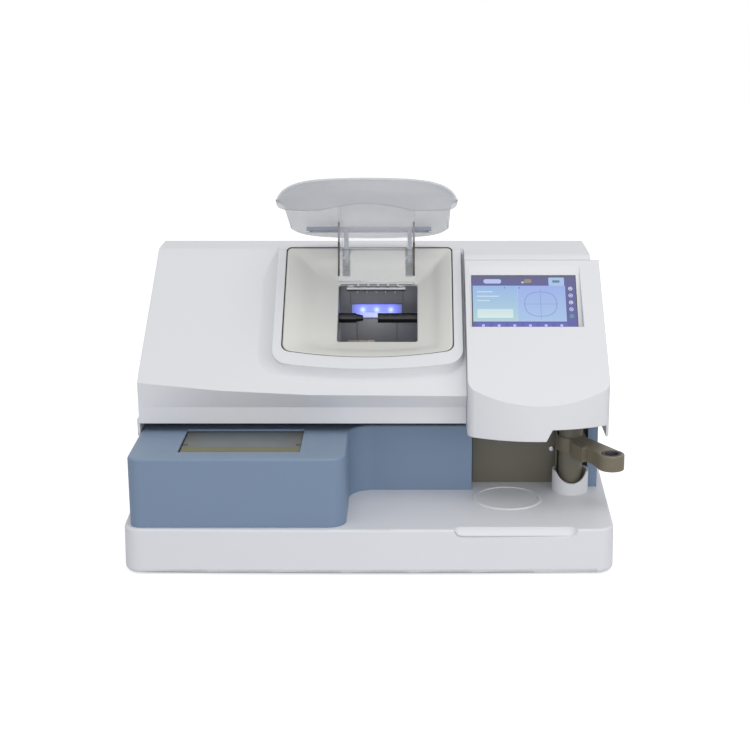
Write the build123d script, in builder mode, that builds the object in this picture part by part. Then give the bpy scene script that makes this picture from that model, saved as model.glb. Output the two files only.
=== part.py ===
"""Optical lens edger: a bench-top machine that traces a spectacle frame, blocks a lens and grinds its edge.

Frame: X to the operator's right, Y away from the operator, Z up, millimetres. The origin is on the table, under
the middle of the machine. The machine is drawn as it stands in use, with the chamber lid open.
Depths are measured from the front edge of the base: at(depth) turns one into a Y coordinate.
"""
from math import atan2, cos, degrees, radians, sin, sqrt, tan
import os

from build123d import *

os.makedirs("parts", exist_ok=True)

# ---------------------------------------------------------------- driving sizes
foot_proud = 2.0           # how far the rubber feet lift the base off the table
foot_radius = 14.0
fit = 0.4                  # gap left between two separate mouldings
running = 0.05             # radial clearance of a shaft in its bearing

base_width = 644.0         # across the front
base_flare = 14.0          # each side is this much further out at the back
base_depth = 440.0
base_height = 62.0
base_corner = 24.0
base_bulge = 4.0           # the front edge bows out by this much in the middle
base_wall = 3.5

body_width_left = 313.6    # blue body, from the middle plane to its left side
body_width_right = 316.0
body_height = 94.5
body_set_back = 6.0        # tracer box front, behind the base's front edge
body_rear = 428.0
body_wall = 3.0
tracer_box_right = -30.0   # X of the step at the right of the tracer box
recess_depth = 154.0       # depth of the recessed blue wall
niche_left = 140.0         # X where the blocker niche starts
niche_right = 302.0
niche_depth = 190.0

housing_gap = 11.5         # between the blue body's top and the housing's lower edge
housing_height = 206.0     # lower edge to top
housing_half = 315.0
housing_wall = 3.5
housing_rear = 424.0
housing_draft = 2.7        # degrees, the sides lean in above the crease
slope_angle = 37.7         # tilt of the sloping face
slope_end = 315.0          # depth where the slope reaches the flat top
top_end = 380.0            # depth where the top starts to fall to the back
rear_drop = 46.0           # height of that rear chamfer
# depth of the slope's lower edge, from the left side to the right
crease_line = ((-315.0, 123.0), (-200.0, 112.5), (-80.0, 107.0), (315.0, 104.0))
lip_depth = 124.2          # depth of the housing's lower edge
band_height = 23.0         # upright band above that edge
skirt_drop = 18.0          # the left skirt reaches this far below the lower edge

chamber_x = -4.0           # X of the middle of the chamber frame and lid
frame_lift = 15.0          # frame face above the slope, square to it
frame_deck = 2.0           # frame face above the housing's flat top
seam_depth = 139.5         # depth of the seam's lowest point
seam_half_front = 118.0
seam_half_rear = 118.5
seam_length = 200.0        # along the slope
seam_sag = 12.0            # the seam's lower edge bows out by this much
seam_corner = 13.0
frame_side = 12.0          # width of the frame's rim at the sides and the front
frame_front = 20.0
frame_end = 342.0          # depth of the frame's rear edge
seal_width = 1.5
surround_wall = 3.5
surround_sink = 24.0       # the surround funnels down to the mouth by this much
mouth_x = 8.5              # middle of the chamber mouth
mouth_half = 56.0
mouth_front = 190.0
mouth_rear = 273.0

chamber_wall = 2.0
chamber_front = 185.0      # inner faces of the steel chamber
chamber_rear = 320.0
chamber_floor_gap = 1.5    # chamber's underside above the blue body's top
chamber_ceiling = 286.0    # depth from which the chamber's ceiling runs level

hinge_depth = 306.0
hinge_drop = 12.5          # hinge pin below the housing's top
hinge_radius = 4.0
hinge_spread = 45.0        # from the mouth's middle to each hinge arm
lid_tilt = 23.2            # degrees the open lid rises towards the operator
lid_gap = 0.8              # closed lid above the frame's face
hood_half = 120.5
hood_flat = 53.0           # half the level part of the arched top
hood_length = 203.0
hood_rear = 13.0           # hood behind the hinge pin
hood_tall = 44.0           # at the front
hood_low = 14.0            # at the rear
hood_bow = 24.0            # the front edge bows out by this much
hood_wall = 3.0
guard_half = 52.0          # about the mouth's middle
guard_wall = 3.0
guard_front = 147.5        # from the hinge pin, along the lid, at the pane's top
guard_foot = 134.0         # the same at its lower edge, inside the mouth's front edge as the lid swings
guard_drop = 62.0          # below the hinge pin, square to the lid
bracket_half = 88.0
bracket_from = 36.0        # from the hinge pin, along the lid
bracket_width = 17.0
bracket_sink = 2.8         # bracket below the hood's underside, clear of the arch's falling sides

shaft_depth = 262.0        # lens shafts
shaft_z = 285.2
shaft_radius = 7.0
quill_radius = 10.5        # sleeve that carries the right shaft and slides to clamp the lens
lens_face_x = -13.0        # X of the left chuck's tip
clamp_gap = 21.0           # between the two chucks when open
clamp_travel = 20.0
traverse_travel = 12.0     # to each side
carriage_swing = 17.0      # degrees, down to the wheels
pivot_depth = 342.0
pivot_z = 300.0
pivot_radius = 9.0
arm_gap = 16.0             # carriage arms stand off the chamber's sides
arm_plate = 16.0
wheel_depth = 275.0
wheel_z = 208.0
wheel_radius = 40.0
wheel_widths = (16.0, 12.0, 12.0)
wheel_stack_x = -36.0      # X of the stack's left face
spindle_radius = 8.0
pulley_radius = 22.0
motor_depth = 360.0
motor_z = 118.0
motor_radius = 36.0
belt_thick = 2.0

console_left = 131.0
console_right = 320.5
console_front = 60.0
console_bow = 25.0         # the front wall's ends lie this far behind its middle
console_z = 164.0          # lower edge
console_rear = 262.0
console_wall = 3.0
console_lift = 27.0        # console face above the slope, square to it
notch_left = 232.0
notch_height = 16.0
side_apron = 4.5           # thickness of the side wall beside the notch
screen_width = 146.0
screen_length = 89.5
screen_x = 213.0
screen_tilt = 46.0
pocket_top = 253.5         # depth of the screen pocket's upper edge
pocket_left, pocket_right = 136.8, 292.0
pocket_length = 109.0
pocket_above = 15.9        # from the pocket's upper edge to the glass
glass_thick = 3.0

column_x = 277.0
column_depth = 154.0
column_radius = 16.5
post_radius = 8.0
stage_x = 188.0
stage_depth = 120.0
stage_radius = 42.0
stage_ring_width = 5.5
cup_radius = 25.0
cup_height = 31.0
cup_wall = 3.0
arm_top = 81.0             # above the base's top
arm_thick = 21.0
arm_radius = 17.5
socket_radius = 13.5
arm_rest_angle = -61.6     # direction of the parked arm, from +X
press_travel = 26.0

tracer_left = -250.5
tracer_width = 160.0
tracer_front = 34.0
tracer_length = 100.0
front_jaw_length = 34.0
jaw_drop = 3.6             # jaws below the top of the blue body, so that they slide under its skin
jaw_thick = 6.0
jaw_travel = 20.0
guide_radius = 3.0

# ---------------------------------------------------------------- derived levels
base_bottom = foot_proud
base_top = base_bottom + base_height
body_top = base_top + body_height
lip_z = body_top + housing_gap
top_z = lip_z + housing_height
slope = tan(radians(slope_angle))
lean = cos(radians(slope_angle))
hinge_z = top_z - hinge_drop
arm_top_z = base_top + arm_top
arm_length = sqrt((column_x - stage_x) ** 2 + (column_depth - stage_depth) ** 2)


def at(depth):
    """Y coordinate of a depth behind the base's front edge."""
    return depth - base_depth / 2


def slope_z(depth, lift=0.0):
    """Height of the sloping face at a depth, or of a face parallel to it and lifted square to it."""
    return top_z - (slope_end - depth) * slope + lift / lean


def tilted(lift):
    """Sketch plane parallel to the slope: local x runs with X, local y up the slope from the seam's lowest point."""
    normal = Vector(0, -sin(radians(slope_angle)), lean)
    foot = Vector(0, at(seam_depth), slope_z(seam_depth, frame_lift))
    return Plane(origin=foot + normal * (lift - frame_lift), x_dir=(1, 0, 0), z_dir=normal)


def save(part, name):
    """Labels a finished piece and writes it as one STEP file."""
    part.label = name
    export_step(part, f"parts/{name}.step")


def side(x):
    """Sketch plane seen from the right: local x runs with Y, local y with Z."""
    return Plane(origin=(x, 0, 0), x_dir=(0, 1, 0), z_dir=(1, 0, 0))


def front(depth):
    """Sketch plane seen from the front: local x runs with X, local y with Z, normal towards the front."""
    return Plane(origin=(0, at(depth), 0), x_dir=(1, 0, 0), z_dir=(0, -1, 0))


def level(z):
    """Horizontal sketch plane."""
    return Plane.XY.offset(z)


# ---------------------------------------------------------------- base tray
def base_outline(inset):
    """Plan of the base: bowed front edge, sides that flare towards the back."""
    half = base_width / 2 - inset
    back = half + base_flare
    y0, y1 = at(inset), at(base_depth - inset)
    with BuildLine() as line:
        ThreePointArc((-half, y0), (0, y0 - base_bulge), (half, y0))
        Polyline((half, y0), (back, y1), (-back, y1), (-half, y0))
    return line.line


scoop_left, scoop_right, scoop_radius = 122.8, 261.3, 12.0

with BuildPart() as base_tray:
    with BuildSketch(level(base_bottom)) as plan:
        add(base_outline(0))
        make_face()
        fillet(plan.vertices(), base_corner)
    extrude(amount=base_height, taper=1)
    fillet(base_tray.edges().group_by(Axis.Z)[-1], 3)
    fillet(base_tray.edges().group_by(Axis.Z)[0], 7)
    with BuildSketch(level(base_bottom)) as cavity:
        add(base_outline(base_wall + 1))
        make_face()
        fillet(cavity.vertices(), base_corner - base_wall)
    extrude(amount=base_height - base_wall, mode=Mode.SUBTRACT)
    # wells for the blocking stage, the column, and the cables up into the blue body
    with BuildSketch(level(base_top - 2 * base_wall)):
        with Locations((stage_x, at(stage_depth))):
            Circle(stage_radius + stage_ring_width - 2)
        with Locations((column_x, at(column_depth))):
            Circle(column_radius + 2)
        with Locations((0, at(300))):
            RectangleRounded(360, 120, 12)
    extrude(amount=3 * base_wall, mode=Mode.SUBTRACT)
    # finger scoop along the front edge, in a thicker length of the wall
    with BuildSketch(Plane.YZ.offset(scoop_left - scoop_radius - base_wall)):
        with Locations((at(base_wall), base_top - base_wall - scoop_radius / 2)):
            Rectangle(scoop_radius + base_wall, scoop_radius + base_wall, align=(Align.MIN, Align.CENTER))
    extrude(amount=scoop_right - scoop_left + 2 * (scoop_radius + base_wall))
    with BuildSketch(Plane.YZ.offset(scoop_left)):
        with Locations((at(0) - base_bulge + 1, base_top)):
            Circle(scoop_radius)
    extrude(amount=scoop_right - scoop_left, mode=Mode.SUBTRACT)
    for scoop_end in (scoop_left, scoop_right):
        with Locations((scoop_end, at(0) - base_bulge + 1, base_top)):
            Sphere(scoop_radius, mode=Mode.SUBTRACT)
save(base_tray.part, "base_tray")

plate_thick = 2.0
foot_spots = [(sx * (base_width / 2 - 45), at(d)) for sx in (-1, 1) for d in (45, base_depth - 45)]

with BuildPart() as base_plate:
    with BuildSketch(level(base_bottom + 1)) as plan:
        add(base_outline(base_wall + 1 + fit))
        make_face()
        fillet(plan.vertices(), base_corner - base_wall - fit)
    extrude(amount=plate_thick)
    with BuildSketch(level(base_bottom + 1)):
        with Locations(*[(sx * 120, at(d)) for sx in (-1, 1) for d in (150, 300)]):
            SlotOverall(90, 6)
    extrude(amount=plate_thick, mode=Mode.SUBTRACT)
save(base_plate.part, "base_plate")

with BuildPart() as rubber_feet:
    with BuildSketch(level(0)):
        with Locations(*foot_spots):
            Circle(foot_radius)
    extrude(amount=base_bottom + 1, taper=2)
save(rubber_feet.part, "rubber_feet")


# ---------------------------------------------------------------- blue lower body
def body_outline(inset):
    """Plan of the blue body: tracer box at the left, recessed wall, niche for the blocker, and a post at the right."""
    left, right = -body_width_left + inset, body_width_right - inset
    f, r = at(body_set_back + inset), at(recess_depth + inset)
    n, b = at(niche_depth + inset), at(body_rear - inset)
    post = at(168 + inset)
    step, n0, n1 = tracer_box_right - inset, niche_left - inset, niche_right + inset
    with BuildSketch() as plan:
        with BuildLine():
            Polyline((left, f), (step, f), (step, r), (n0, r), (n0, n), (n1, n), (n1, post), (right, post),
                     (right, b), (left, b), close=True)
        make_face()
        fillet(plan.vertices().sort_by_distance((left, f))[0], 16 - inset)
        fillet(plan.vertices().sort_by_distance((step, f))[0], 23 - inset)
        fillet(plan.vertices().sort_by_distance((step, r))[0], 34 + inset)
        for corner in ((right, b), (left, b)):
            fillet(plan.vertices().sort_by_distance(corner)[0], 14 - inset)
    return plan.sketch


tracer_right = tracer_left + tracer_width
tracer_middle = (tracer_left + tracer_right) / 2
rear_window = (430.0, 70.0)     # opening in the back of the blue body for the connector panel

with BuildPart() as lower_body:
    with BuildSketch(level(base_top)):
        add(body_outline(0))
    extrude(amount=body_height)
    fillet(lower_body.edges().group_by(Axis.Z)[-1], 3.5)
    with BuildSketch(level(base_top)):
        add(body_outline(body_wall))
    extrude(amount=body_height - body_wall, mode=Mode.SUBTRACT)
    with BuildSketch(level(body_top - 2 * body_wall)):
        with Locations((tracer_middle, at(tracer_front + tracer_length / 2))):
            RectangleRounded(tracer_width, tracer_length, 2)
        # the machine's works pass up through the top into the housing
        with Locations((0, at(300))):
            RectangleRounded(580, 220, 10)
    extrude(amount=3 * body_wall, mode=Mode.SUBTRACT)
    with BuildSketch(front(body_rear + 5)):
        with Locations((0, base_top + body_height / 2)):
            RectangleRounded(rear_window[0] - 20, rear_window[1] - 14, 4)
    extrude(amount=20, mode=Mode.SUBTRACT)
save(lower_body.part, "lower_body")


# ---------------------------------------------------------------- main housing
def housing_section(x, crease_depth, inset):
    """Side profile of the housing at one X; an inset profile also runs out through the open bottom."""
    bottom = lip_z - 4 * inset
    with BuildSketch(side(x)) as section:
        with BuildLine():
            Polyline((at(lip_depth), bottom), (at(lip_depth), lip_z + band_height),
                     (at(crease_depth), slope_z(crease_depth)), (at(slope_end), top_z),
                     (at(top_end), top_z), (at(housing_rear), top_z - rear_drop), (at(housing_rear), bottom),
                     close=True)
        make_face()
        if inset:
            offset(amount=-inset, kind=Kind.INTERSECTION)
    return section.sketch.face()


def housing_form(inset):
    """Solid shape of the housing, with the corner left out where the console stands."""
    half = housing_half - inset
    drafted = (housing_height - 70) * tan(radians(housing_draft))
    corner_x = console_left - fit - inset
    corner_y = at(console_rear) + fit + inset
    with BuildPart() as form:
        loft([housing_section(x, crease_depth, inset) for x, crease_depth in crease_line], ruled=True)
        # the part behind the console stands up to the console's height
        with BuildSketch(side(corner_x + 2 * inset)):
            with BuildLine():
                Polyline((corner_y - 1, lip_z), (corner_y - 1, slope_z(console_rear, console_lift) - inset),
                         (at(slope_end) - console_lift / lean / slope, top_z - inset),
                         (at(slope_end) + 5, top_z - inset), (at(slope_end) + 5, lip_z), close=True)
            make_face()
        extrude(amount=housing_half - corner_x)
        with BuildSketch(front(0)):
            with BuildLine():
                Polyline((-half, lip_z - 30), (half, lip_z - 30), (half, lip_z + 70), (half - drafted, top_z + 1),
                         (drafted - half, top_z + 1), (-half, lip_z + 70), close=True)
            make_face()
        extrude(amount=-2 * base_depth, mode=Mode.INTERSECT)
        with Locations((corner_x + 200, corner_y - 300, top_z)):
            Box(400, 600, 2 * top_z, mode=Mode.SUBTRACT)
    return form.part


def seam_outline(grow_side, grow_front, length=seam_length):
    """Outline of the chamber recess in the slope's own plane: it widens up the slope and its lower edge bows out."""
    low, high = seam_half_front + grow_side, seam_half_rear + grow_side
    with BuildSketch() as outline:
        with BuildLine():
            ThreePointArc((chamber_x - low, seam_sag - grow_front), (chamber_x, -grow_front),
                          (chamber_x + low, seam_sag - grow_front))
            Polyline((chamber_x + low, seam_sag - grow_front), (chamber_x + high, length),
                     (chamber_x - high, length), (chamber_x - low, seam_sag - grow_front))
        make_face()
        corners = outline.vertices().sort_by(Axis.Y)
        fillet(corners[:2], seam_corner + grow_side)
        fillet(outline.vertices().sort_by(Axis.Y)[-2:], 7 + grow_side / 2)
    return outline.sketch


housing_outside = housing_form(0)
lug_thick = 16.0
arm_plate_thick = 6.0      # the lid's two hinge arms
hinge_eye = 9.0
hinge_room = 30.0          # the housing's opening runs on under the frame, for the hinge

with BuildPart() as hinge_slot_form:
    for sx in (-1, 1):
        with Locations((mouth_x + sx * hinge_spread, at(hinge_depth) - 10, hinge_z + 22)):
            Box(arm_plate_thick + 4, 42 + 2 * (hinge_eye - 9), 80)
hinge_slots = hinge_slot_form.part

with BuildPart() as main_housing:
    add(housing_outside)
    fillet(main_housing.edges().filter_by(Axis.X).filter_by_position(Axis.Z, top_z - 1, top_z + 1), 12)
    add(housing_form(housing_wall), mode=Mode.SUBTRACT)
    with BuildSketch(tilted(frame_lift)):
        add(seam_outline(fit, fit, length=seam_length + hinge_room))
    extrude(amount=60, both=True, mode=Mode.SUBTRACT)
    # left skirt, lapping the blue body
    with BuildSketch(side(-body_width_left - fit - housing_wall)):
        with BuildLine():
            Polyline((at(lip_depth), lip_z + 6), (at(lip_depth) + 2, lip_z - skirt_drop), (at(body_rear), lip_z - skirt_drop),
                     (at(housing_rear), lip_z + 6), close=True)
        make_face()
    extrude(amount=housing_wall)
    add(hinge_slots, mode=Mode.SUBTRACT)
    # lugs that stand on the blue body's top
    for sx in (-1, 1):
        for depth in (285, 395):
            with Locations((sx * (housing_half - housing_wall - lug_thick / 2 + 1), at(depth), body_top)):
                Box(lug_thick, 18, lip_z - body_top + 40, align=(Align.CENTER, Align.CENTER, Align.MIN))
save(main_housing.part, "main_housing")

# ---------------------------------------------------------------- chamber frame, seal and surround
with BuildPart() as chamber_frame:
    with BuildSketch(tilted(frame_lift)):
        add(seam_outline(frame_side, frame_front, length=seam_length + 90))
    extrude(amount=-45)
    with Locations((0, 0, top_z + frame_deck)):
        Box(800, 800, 200, align=(Align.CENTER, Align.CENTER, Align.MIN), mode=Mode.SUBTRACT)
    with Locations((0, at(frame_end), 0)):
        Box(800, 400, 900, align=(Align.CENTER, Align.MIN, Align.CENTER), mode=Mode.SUBTRACT)
    add(housing_outside, mode=Mode.SUBTRACT)
    with BuildSketch(tilted(frame_lift)):
        add(seam_outline(0, 0))
    extrude(amount=80, both=True, mode=Mode.SUBTRACT)
    add(hinge_slots, mode=Mode.SUBTRACT)
save(chamber_frame.part, "chamber_frame")

seal_thick = 5.0

with BuildPart() as chamber_seal:
    with BuildSketch(tilted(frame_lift - 1)):
        add(seam_outline(-fit / 4, -fit / 4))
        add(seam_outline(-seal_width, -seal_width, length=seam_length - seal_width), mode=Mode.SUBTRACT)
    extrude(amount=-seal_thick)
    add(hinge_slots, mode=Mode.SUBTRACT)
save(chamber_seal.part, "chamber_seal")

surround_edge = seal_width + fit
mouth_low = (mouth_front - seam_depth) / lean - surround_sink * slope
mouth_high = (mouth_rear - seam_depth) / lean - surround_sink * slope


def mouth_outline(grow):
    """Mouth of the chamber, in the slope's own plane."""
    with BuildSketch() as outline:
        with Locations((mouth_x, (mouth_low + mouth_high) / 2)):
            RectangleRounded(2 * (mouth_half + grow), mouth_high - mouth_low + 2 * grow, 3 + grow)
    return outline.sketch


def funnel(inset):
    """Solid that runs from the seam down to the mouth."""
    edge = surround_edge + inset
    with BuildSketch(tilted(frame_lift + inset / 50)) as rim:
        add(seam_outline(-edge, -edge, length=seam_length - edge))
    with BuildSketch(tilted(frame_lift - surround_sink - inset / 50)) as mouth:
        add(mouth_outline(surround_wall - inset))
    with BuildPart() as form:
        loft([rim.sketch.face(), mouth.sketch.face()])
    return form.part


with BuildPart() as chamber_surround:
    add(funnel(0))
    add(funnel(surround_wall), mode=Mode.SUBTRACT)
    add(hinge_slots, mode=Mode.SUBTRACT)
save(chamber_surround.part, "chamber_surround")

# ---------------------------------------------------------------- grinding chamber
chamber_bottom = body_top + chamber_floor_gap
funnel_end = frame_lift - surround_sink


def chamber_form(inset):
    """Steel box under the mouth, cut off along the slope's direction."""
    left, right = mouth_x - mouth_half - chamber_wall + inset, mouth_x + mouth_half + chamber_wall - inset
    near, far = at(chamber_front) - chamber_wall + inset, at(chamber_rear) + chamber_wall - inset
    with BuildPart() as form:
        with BuildSketch(side(left)):
            with BuildLine():
                Polyline((near, chamber_bottom + inset), (far, chamber_bottom + inset),
                         (far, slope_z(chamber_ceiling, funnel_end) - inset),
                         (at(chamber_ceiling), slope_z(chamber_ceiling, funnel_end) - inset),
                         (near, slope_z(near + base_depth / 2, funnel_end) - inset / lean), close=True)
            make_face()
        extrude(amount=right - left)
        fillet(form.edges().filter_by(Axis.X).group_by(Axis.Z)[0], 12 - inset)
    return form.part


swing_steps = 4
slot_radius = quill_radius + 3
pivot_to_shaft = (shaft_depth - pivot_depth, shaft_z - pivot_z)


def swung(angle):
    """Y and Z of the lens shafts with the carriage swung down by an angle."""
    c, s = cos(radians(angle)), sin(radians(angle))
    dy, dz = pivot_to_shaft
    return at(pivot_depth) + dy * c - dz * s, pivot_z + dy * s + dz * c


with BuildPart() as grinding_chamber:
    add(chamber_form(0))
    add(chamber_form(chamber_wall), mode=Mode.SUBTRACT)
    with BuildSketch(tilted(frame_lift)):
        add(mouth_outline(0))
    extrude(amount=-surround_sink - 6, mode=Mode.SUBTRACT)
    # slots that the lens shafts swing in, and the spindle's holes
    with BuildSketch(side(mouth_x - mouth_half - 10)):
        for step in range(swing_steps):
            with BuildLine():
                Line(swung(carriage_swing * step / swing_steps), swung(carriage_swing * (step + 1) / swing_steps))
        for step in range(swing_steps + 1):
            with Locations(swung(carriage_swing * step / swing_steps)):
                Circle(slot_radius)
        for step in range(swing_steps):
            y0, z0 = swung(carriage_swing * step / swing_steps)
            y1, z1 = swung(carriage_swing * (step + 1) / swing_steps)
            with Locations(((y0 + y1) / 2, (z0 + z1) / 2)):
                Rectangle(sqrt((y1 - y0) ** 2 + (z1 - z0) ** 2), 2 * slot_radius,
                          rotation=degrees(atan2(z1 - z0, y1 - y0)))
        with Locations((at(wheel_depth), wheel_z)):
            Circle(spindle_radius + 1)
    extrude(amount=2 * mouth_half + 20, mode=Mode.SUBTRACT)
    # drain
    drain_y = at(chamber_rear) - 30
    with Locations((mouth_x, drain_y, chamber_bottom)):
        Cylinder(9, 20, mode=Mode.SUBTRACT)
save(grinding_chamber.part, "grinding_chamber")

window_half = 36.5
window_low, window_high = 273.0, 292.0
window_thick = 3.0
window_x = mouth_x - 3

with BuildPart() as led_window:
    with BuildSketch(front(chamber_rear)):
        with Locations((window_x, (window_low + window_high) / 2)):
            RectangleRounded(2 * window_half, window_high - window_low, 2)
    extrude(amount=window_thick)
save(led_window.part, "led_window")

with BuildPart() as splash_plates:
    with BuildSketch(front(chamber_rear)):
        with Locations((window_x, window_high + 12)):
            Rectangle(2 * window_half + 4, 22)
        with Locations((window_x, window_low - 40)):
            Rectangle(58, 78)
    extrude(amount=1.2)
save(splash_plates.part, "splash_plates")

bar_radius = 4.0
bar_half = 42.0
nozzle_count = 5
bar_depth = mouth_rear + 3
bar_z = slope_z(bar_depth, funnel_end) - (chamber_wall + bar_radius + 1.5) / lean
hanger = 40.0

with BuildPart() as spray_bar:
    with BuildSketch(Plane.YZ.offset(mouth_x - 3 - bar_half)):
        with Locations((at(bar_depth), bar_z)):
            Circle(bar_radius)
    extrude(amount=2 * bar_half)
    with BuildSketch(level(bar_z)):
        with GridLocations(13.5, 1, nozzle_count, 1):
            with Locations((mouth_x - 3, at(bar_depth) - 1)):
                Circle(1.6)
    extrude(amount=-bar_radius - 2.5)
    # hanger blocks up to the chamber's ceiling
    for sx in (-1, 1):
        with Locations((mouth_x - 3 + sx * (bar_half - 6), at(bar_depth) - 2, bar_z)):
            Box(8, 11, hanger, align=(Align.CENTER, Align.MIN, Align.MIN))
    with BuildSketch(tilted(funnel_end - chamber_wall - fit / 2)):
        Rectangle(1500, 1500)
    extrude(amount=60, mode=Mode.SUBTRACT)
save(spray_bar.part, "spray_bar")

# ---------------------------------------------------------------- chassis inside the housing
chassis_thick = 6.0
cheek_thick = 6.0
cheek_left = mouth_x - mouth_half - chamber_wall - arm_gap - arm_plate - traverse_travel - 12
cheek_right = mouth_x + mouth_half + chamber_wall + arm_gap + arm_plate + traverse_travel + 12
post_size = 16.0

with BuildPart() as chassis:
    with BuildSketch(level(base_top)):
        with Locations((0, at(305))):
            RectangleRounded(560, 200, 8)
        with Locations((-200, at(300)), (200, at(300))):
            RectangleRounded(90, 70, 6, mode=Mode.SUBTRACT)
    extrude(amount=chassis_thick)
    for cheek_x in (cheek_left - cheek_thick, cheek_right):
        with BuildSketch(side(cheek_x)):
            with BuildLine():
                Polyline((at(290), base_top), (at(395), base_top), (at(385), pivot_z), (at(370), pivot_z + 22),
                         (at(318), pivot_z + 22), (at(318), pivot_z - 30), (at(290), 180), close=True)
            make_face()
            with Locations((at(pivot_depth), pivot_z)):
                Circle(pivot_radius, mode=Mode.SUBTRACT)
        extrude(amount=cheek_thick)
    for px in (mouth_x - mouth_half + 8, mouth_x + mouth_half - 8):
        for depth in (chamber_front + 14, chamber_rear - 10):
            with Locations((px, at(depth), base_top)):
                Box(post_size, post_size, chamber_bottom - base_top + 8,
                    align=(Align.CENTER, Align.CENTER, Align.MIN))
    add(chamber_form(0), mode=Mode.SUBTRACT)
save(chassis.part, "chassis")

# ---------------------------------------------------------------- lid
hinge_y = at(hinge_depth)
up = Vector(0, sin(radians(lid_tilt)), cos(radians(lid_tilt)))          # square to the lid, away from the chamber
along = Vector(0, -cos(radians(lid_tilt)), sin(radians(lid_tilt)))      # from the hinge pin towards the lid's front
hinge_point = Vector(chamber_x, hinge_y, hinge_z)
rim = (slope_z(hinge_depth, frame_lift) - hinge_z) * lean + lid_gap     # the hood's lower edge, above the hinge pin


def lid_side(x):
    """Plane of the open lid's side view: local x runs along the lid, local y square to it."""
    return Plane(origin=hinge_point + Vector(x, 0, 0), x_dir=along, z_dir=(-1, 0, 0))


def lid_plan(height):
    """Plane of the open lid's plan: local x runs with X, local y towards the hinge, height square to the lid."""
    return Plane(origin=hinge_point + up * height, x_dir=(1, 0, 0), z_dir=up)


def hood_top(u):
    """Height of the hood's outer top face along the lid."""
    return rim + hood_low + (hood_tall - hood_low) * u / hood_length


def hood_arch(u, inset):
    """Section of the hood's shape across the lid, u along it: level in the middle and falling to both sides."""
    crest = hood_top(u) - inset
    rise = crest - rim
    half = hood_half + 1 - inset
    with BuildSketch(Plane(origin=hinge_point + along * u, x_dir=(1, 0, 0), z_dir=along)) as section:
        with BuildLine():
            Spline((-half, rim + 0.3 * rise), (-hood_half + 11, rim + 0.64 * rise), (-hood_half + 26, rim + 0.84 * rise),
                   (-hood_flat, crest), tangents=((0.35, 1), (1, 0)))
            Line((-hood_flat, crest), (hood_flat, crest))
            Spline((hood_flat, crest), (hood_half - 26, rim + 0.84 * rise), (hood_half - 11, rim + 0.64 * rise),
                   (half, rim + 0.3 * rise), tangents=((1, 0), (0.35, -1)))
            Polyline((half, rim + 0.3 * rise), (half, rim - 30), (-half, rim - 30), (-half, rim + 0.3 * rise))
        make_face()
    return section.sketch.face()


def hood_vault(inset):
    """Solid under the hood's arched top, longer than the hood at both ends."""
    with BuildPart() as vault:
        loft([hood_arch(hood_length + 20, inset), hood_arch(-hood_rear - 20, inset)], ruled=True)
    return vault.part


def hood_form(inset):
    """The hood's solid shape; the inset one also runs out through its open underside."""
    low = rim - 5 * inset
    half = hood_half - inset
    with BuildPart() as form:
        with BuildSketch(lid_side(0)):
            with BuildLine():
                Polyline((3, low), (hood_length - inset, low), (hood_length + 5 - inset, rim + 17),
                         (hood_length - 4 - inset, hood_top(hood_length) - inset),
                         (-hood_rear, hood_top(-hood_rear) - inset), (-hood_rear, rim + 11 - 5 * inset),
                         close=True)
            make_face()
        extrude(amount=hood_half + 1, both=True)
        with BuildSketch(lid_plan(0)) as plan:
            with BuildLine():
                front_edge = -(hood_length + 6 - inset)
                rear_edge = hood_rear - 22 + inset / 2
                ThreePointArc((-half, front_edge + hood_bow), (0, front_edge), (half, front_edge + hood_bow))
                Line((half, front_edge + hood_bow), (half - 3, rear_edge))
                ThreePointArc((half - 3, rear_edge), (0, hood_rear + inset / 2), (3 - half, rear_edge))
                Line((3 - half, rear_edge), (-half, front_edge + hood_bow))
            make_face()
            fillet(plan.vertices().sort_by(Axis.Y)[:2], 30 - inset)
            fillet(plan.vertices().sort_by(Axis.Y)[-2:], 16 - inset)
        extrude(amount=200, both=True, mode=Mode.INTERSECT)
        add(hood_vault(inset), mode=Mode.INTERSECT)
    return form.part


with BuildPart() as lid_hood:
    add(hood_form(0))
    add(hood_form(hood_wall), mode=Mode.SUBTRACT)
    # finger grip in the lower edge of the front wall
    with BuildSketch(Plane(origin=hinge_point + along * (hood_length - 30), x_dir=(1, 0, 0), z_dir=along)):
        with BuildLine():
            ThreePointArc((-58, rim - 1), (0, rim + 7), (58, rim - 1))
            Line((58, rim - 1), (-58, rim - 1))
        make_face()
    extrude(amount=60, mode=Mode.SUBTRACT)
save(lid_hood.part, "lid_hood")

bracket_thick = 4.5
bracket_mid = bracket_from + bracket_width / 2
bracket_face = hood_top(bracket_from) - hood_wall - bracket_sink

guard_x = mouth_x - chamber_x
pane_top = hood_top(guard_front) - hood_wall - fit

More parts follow.
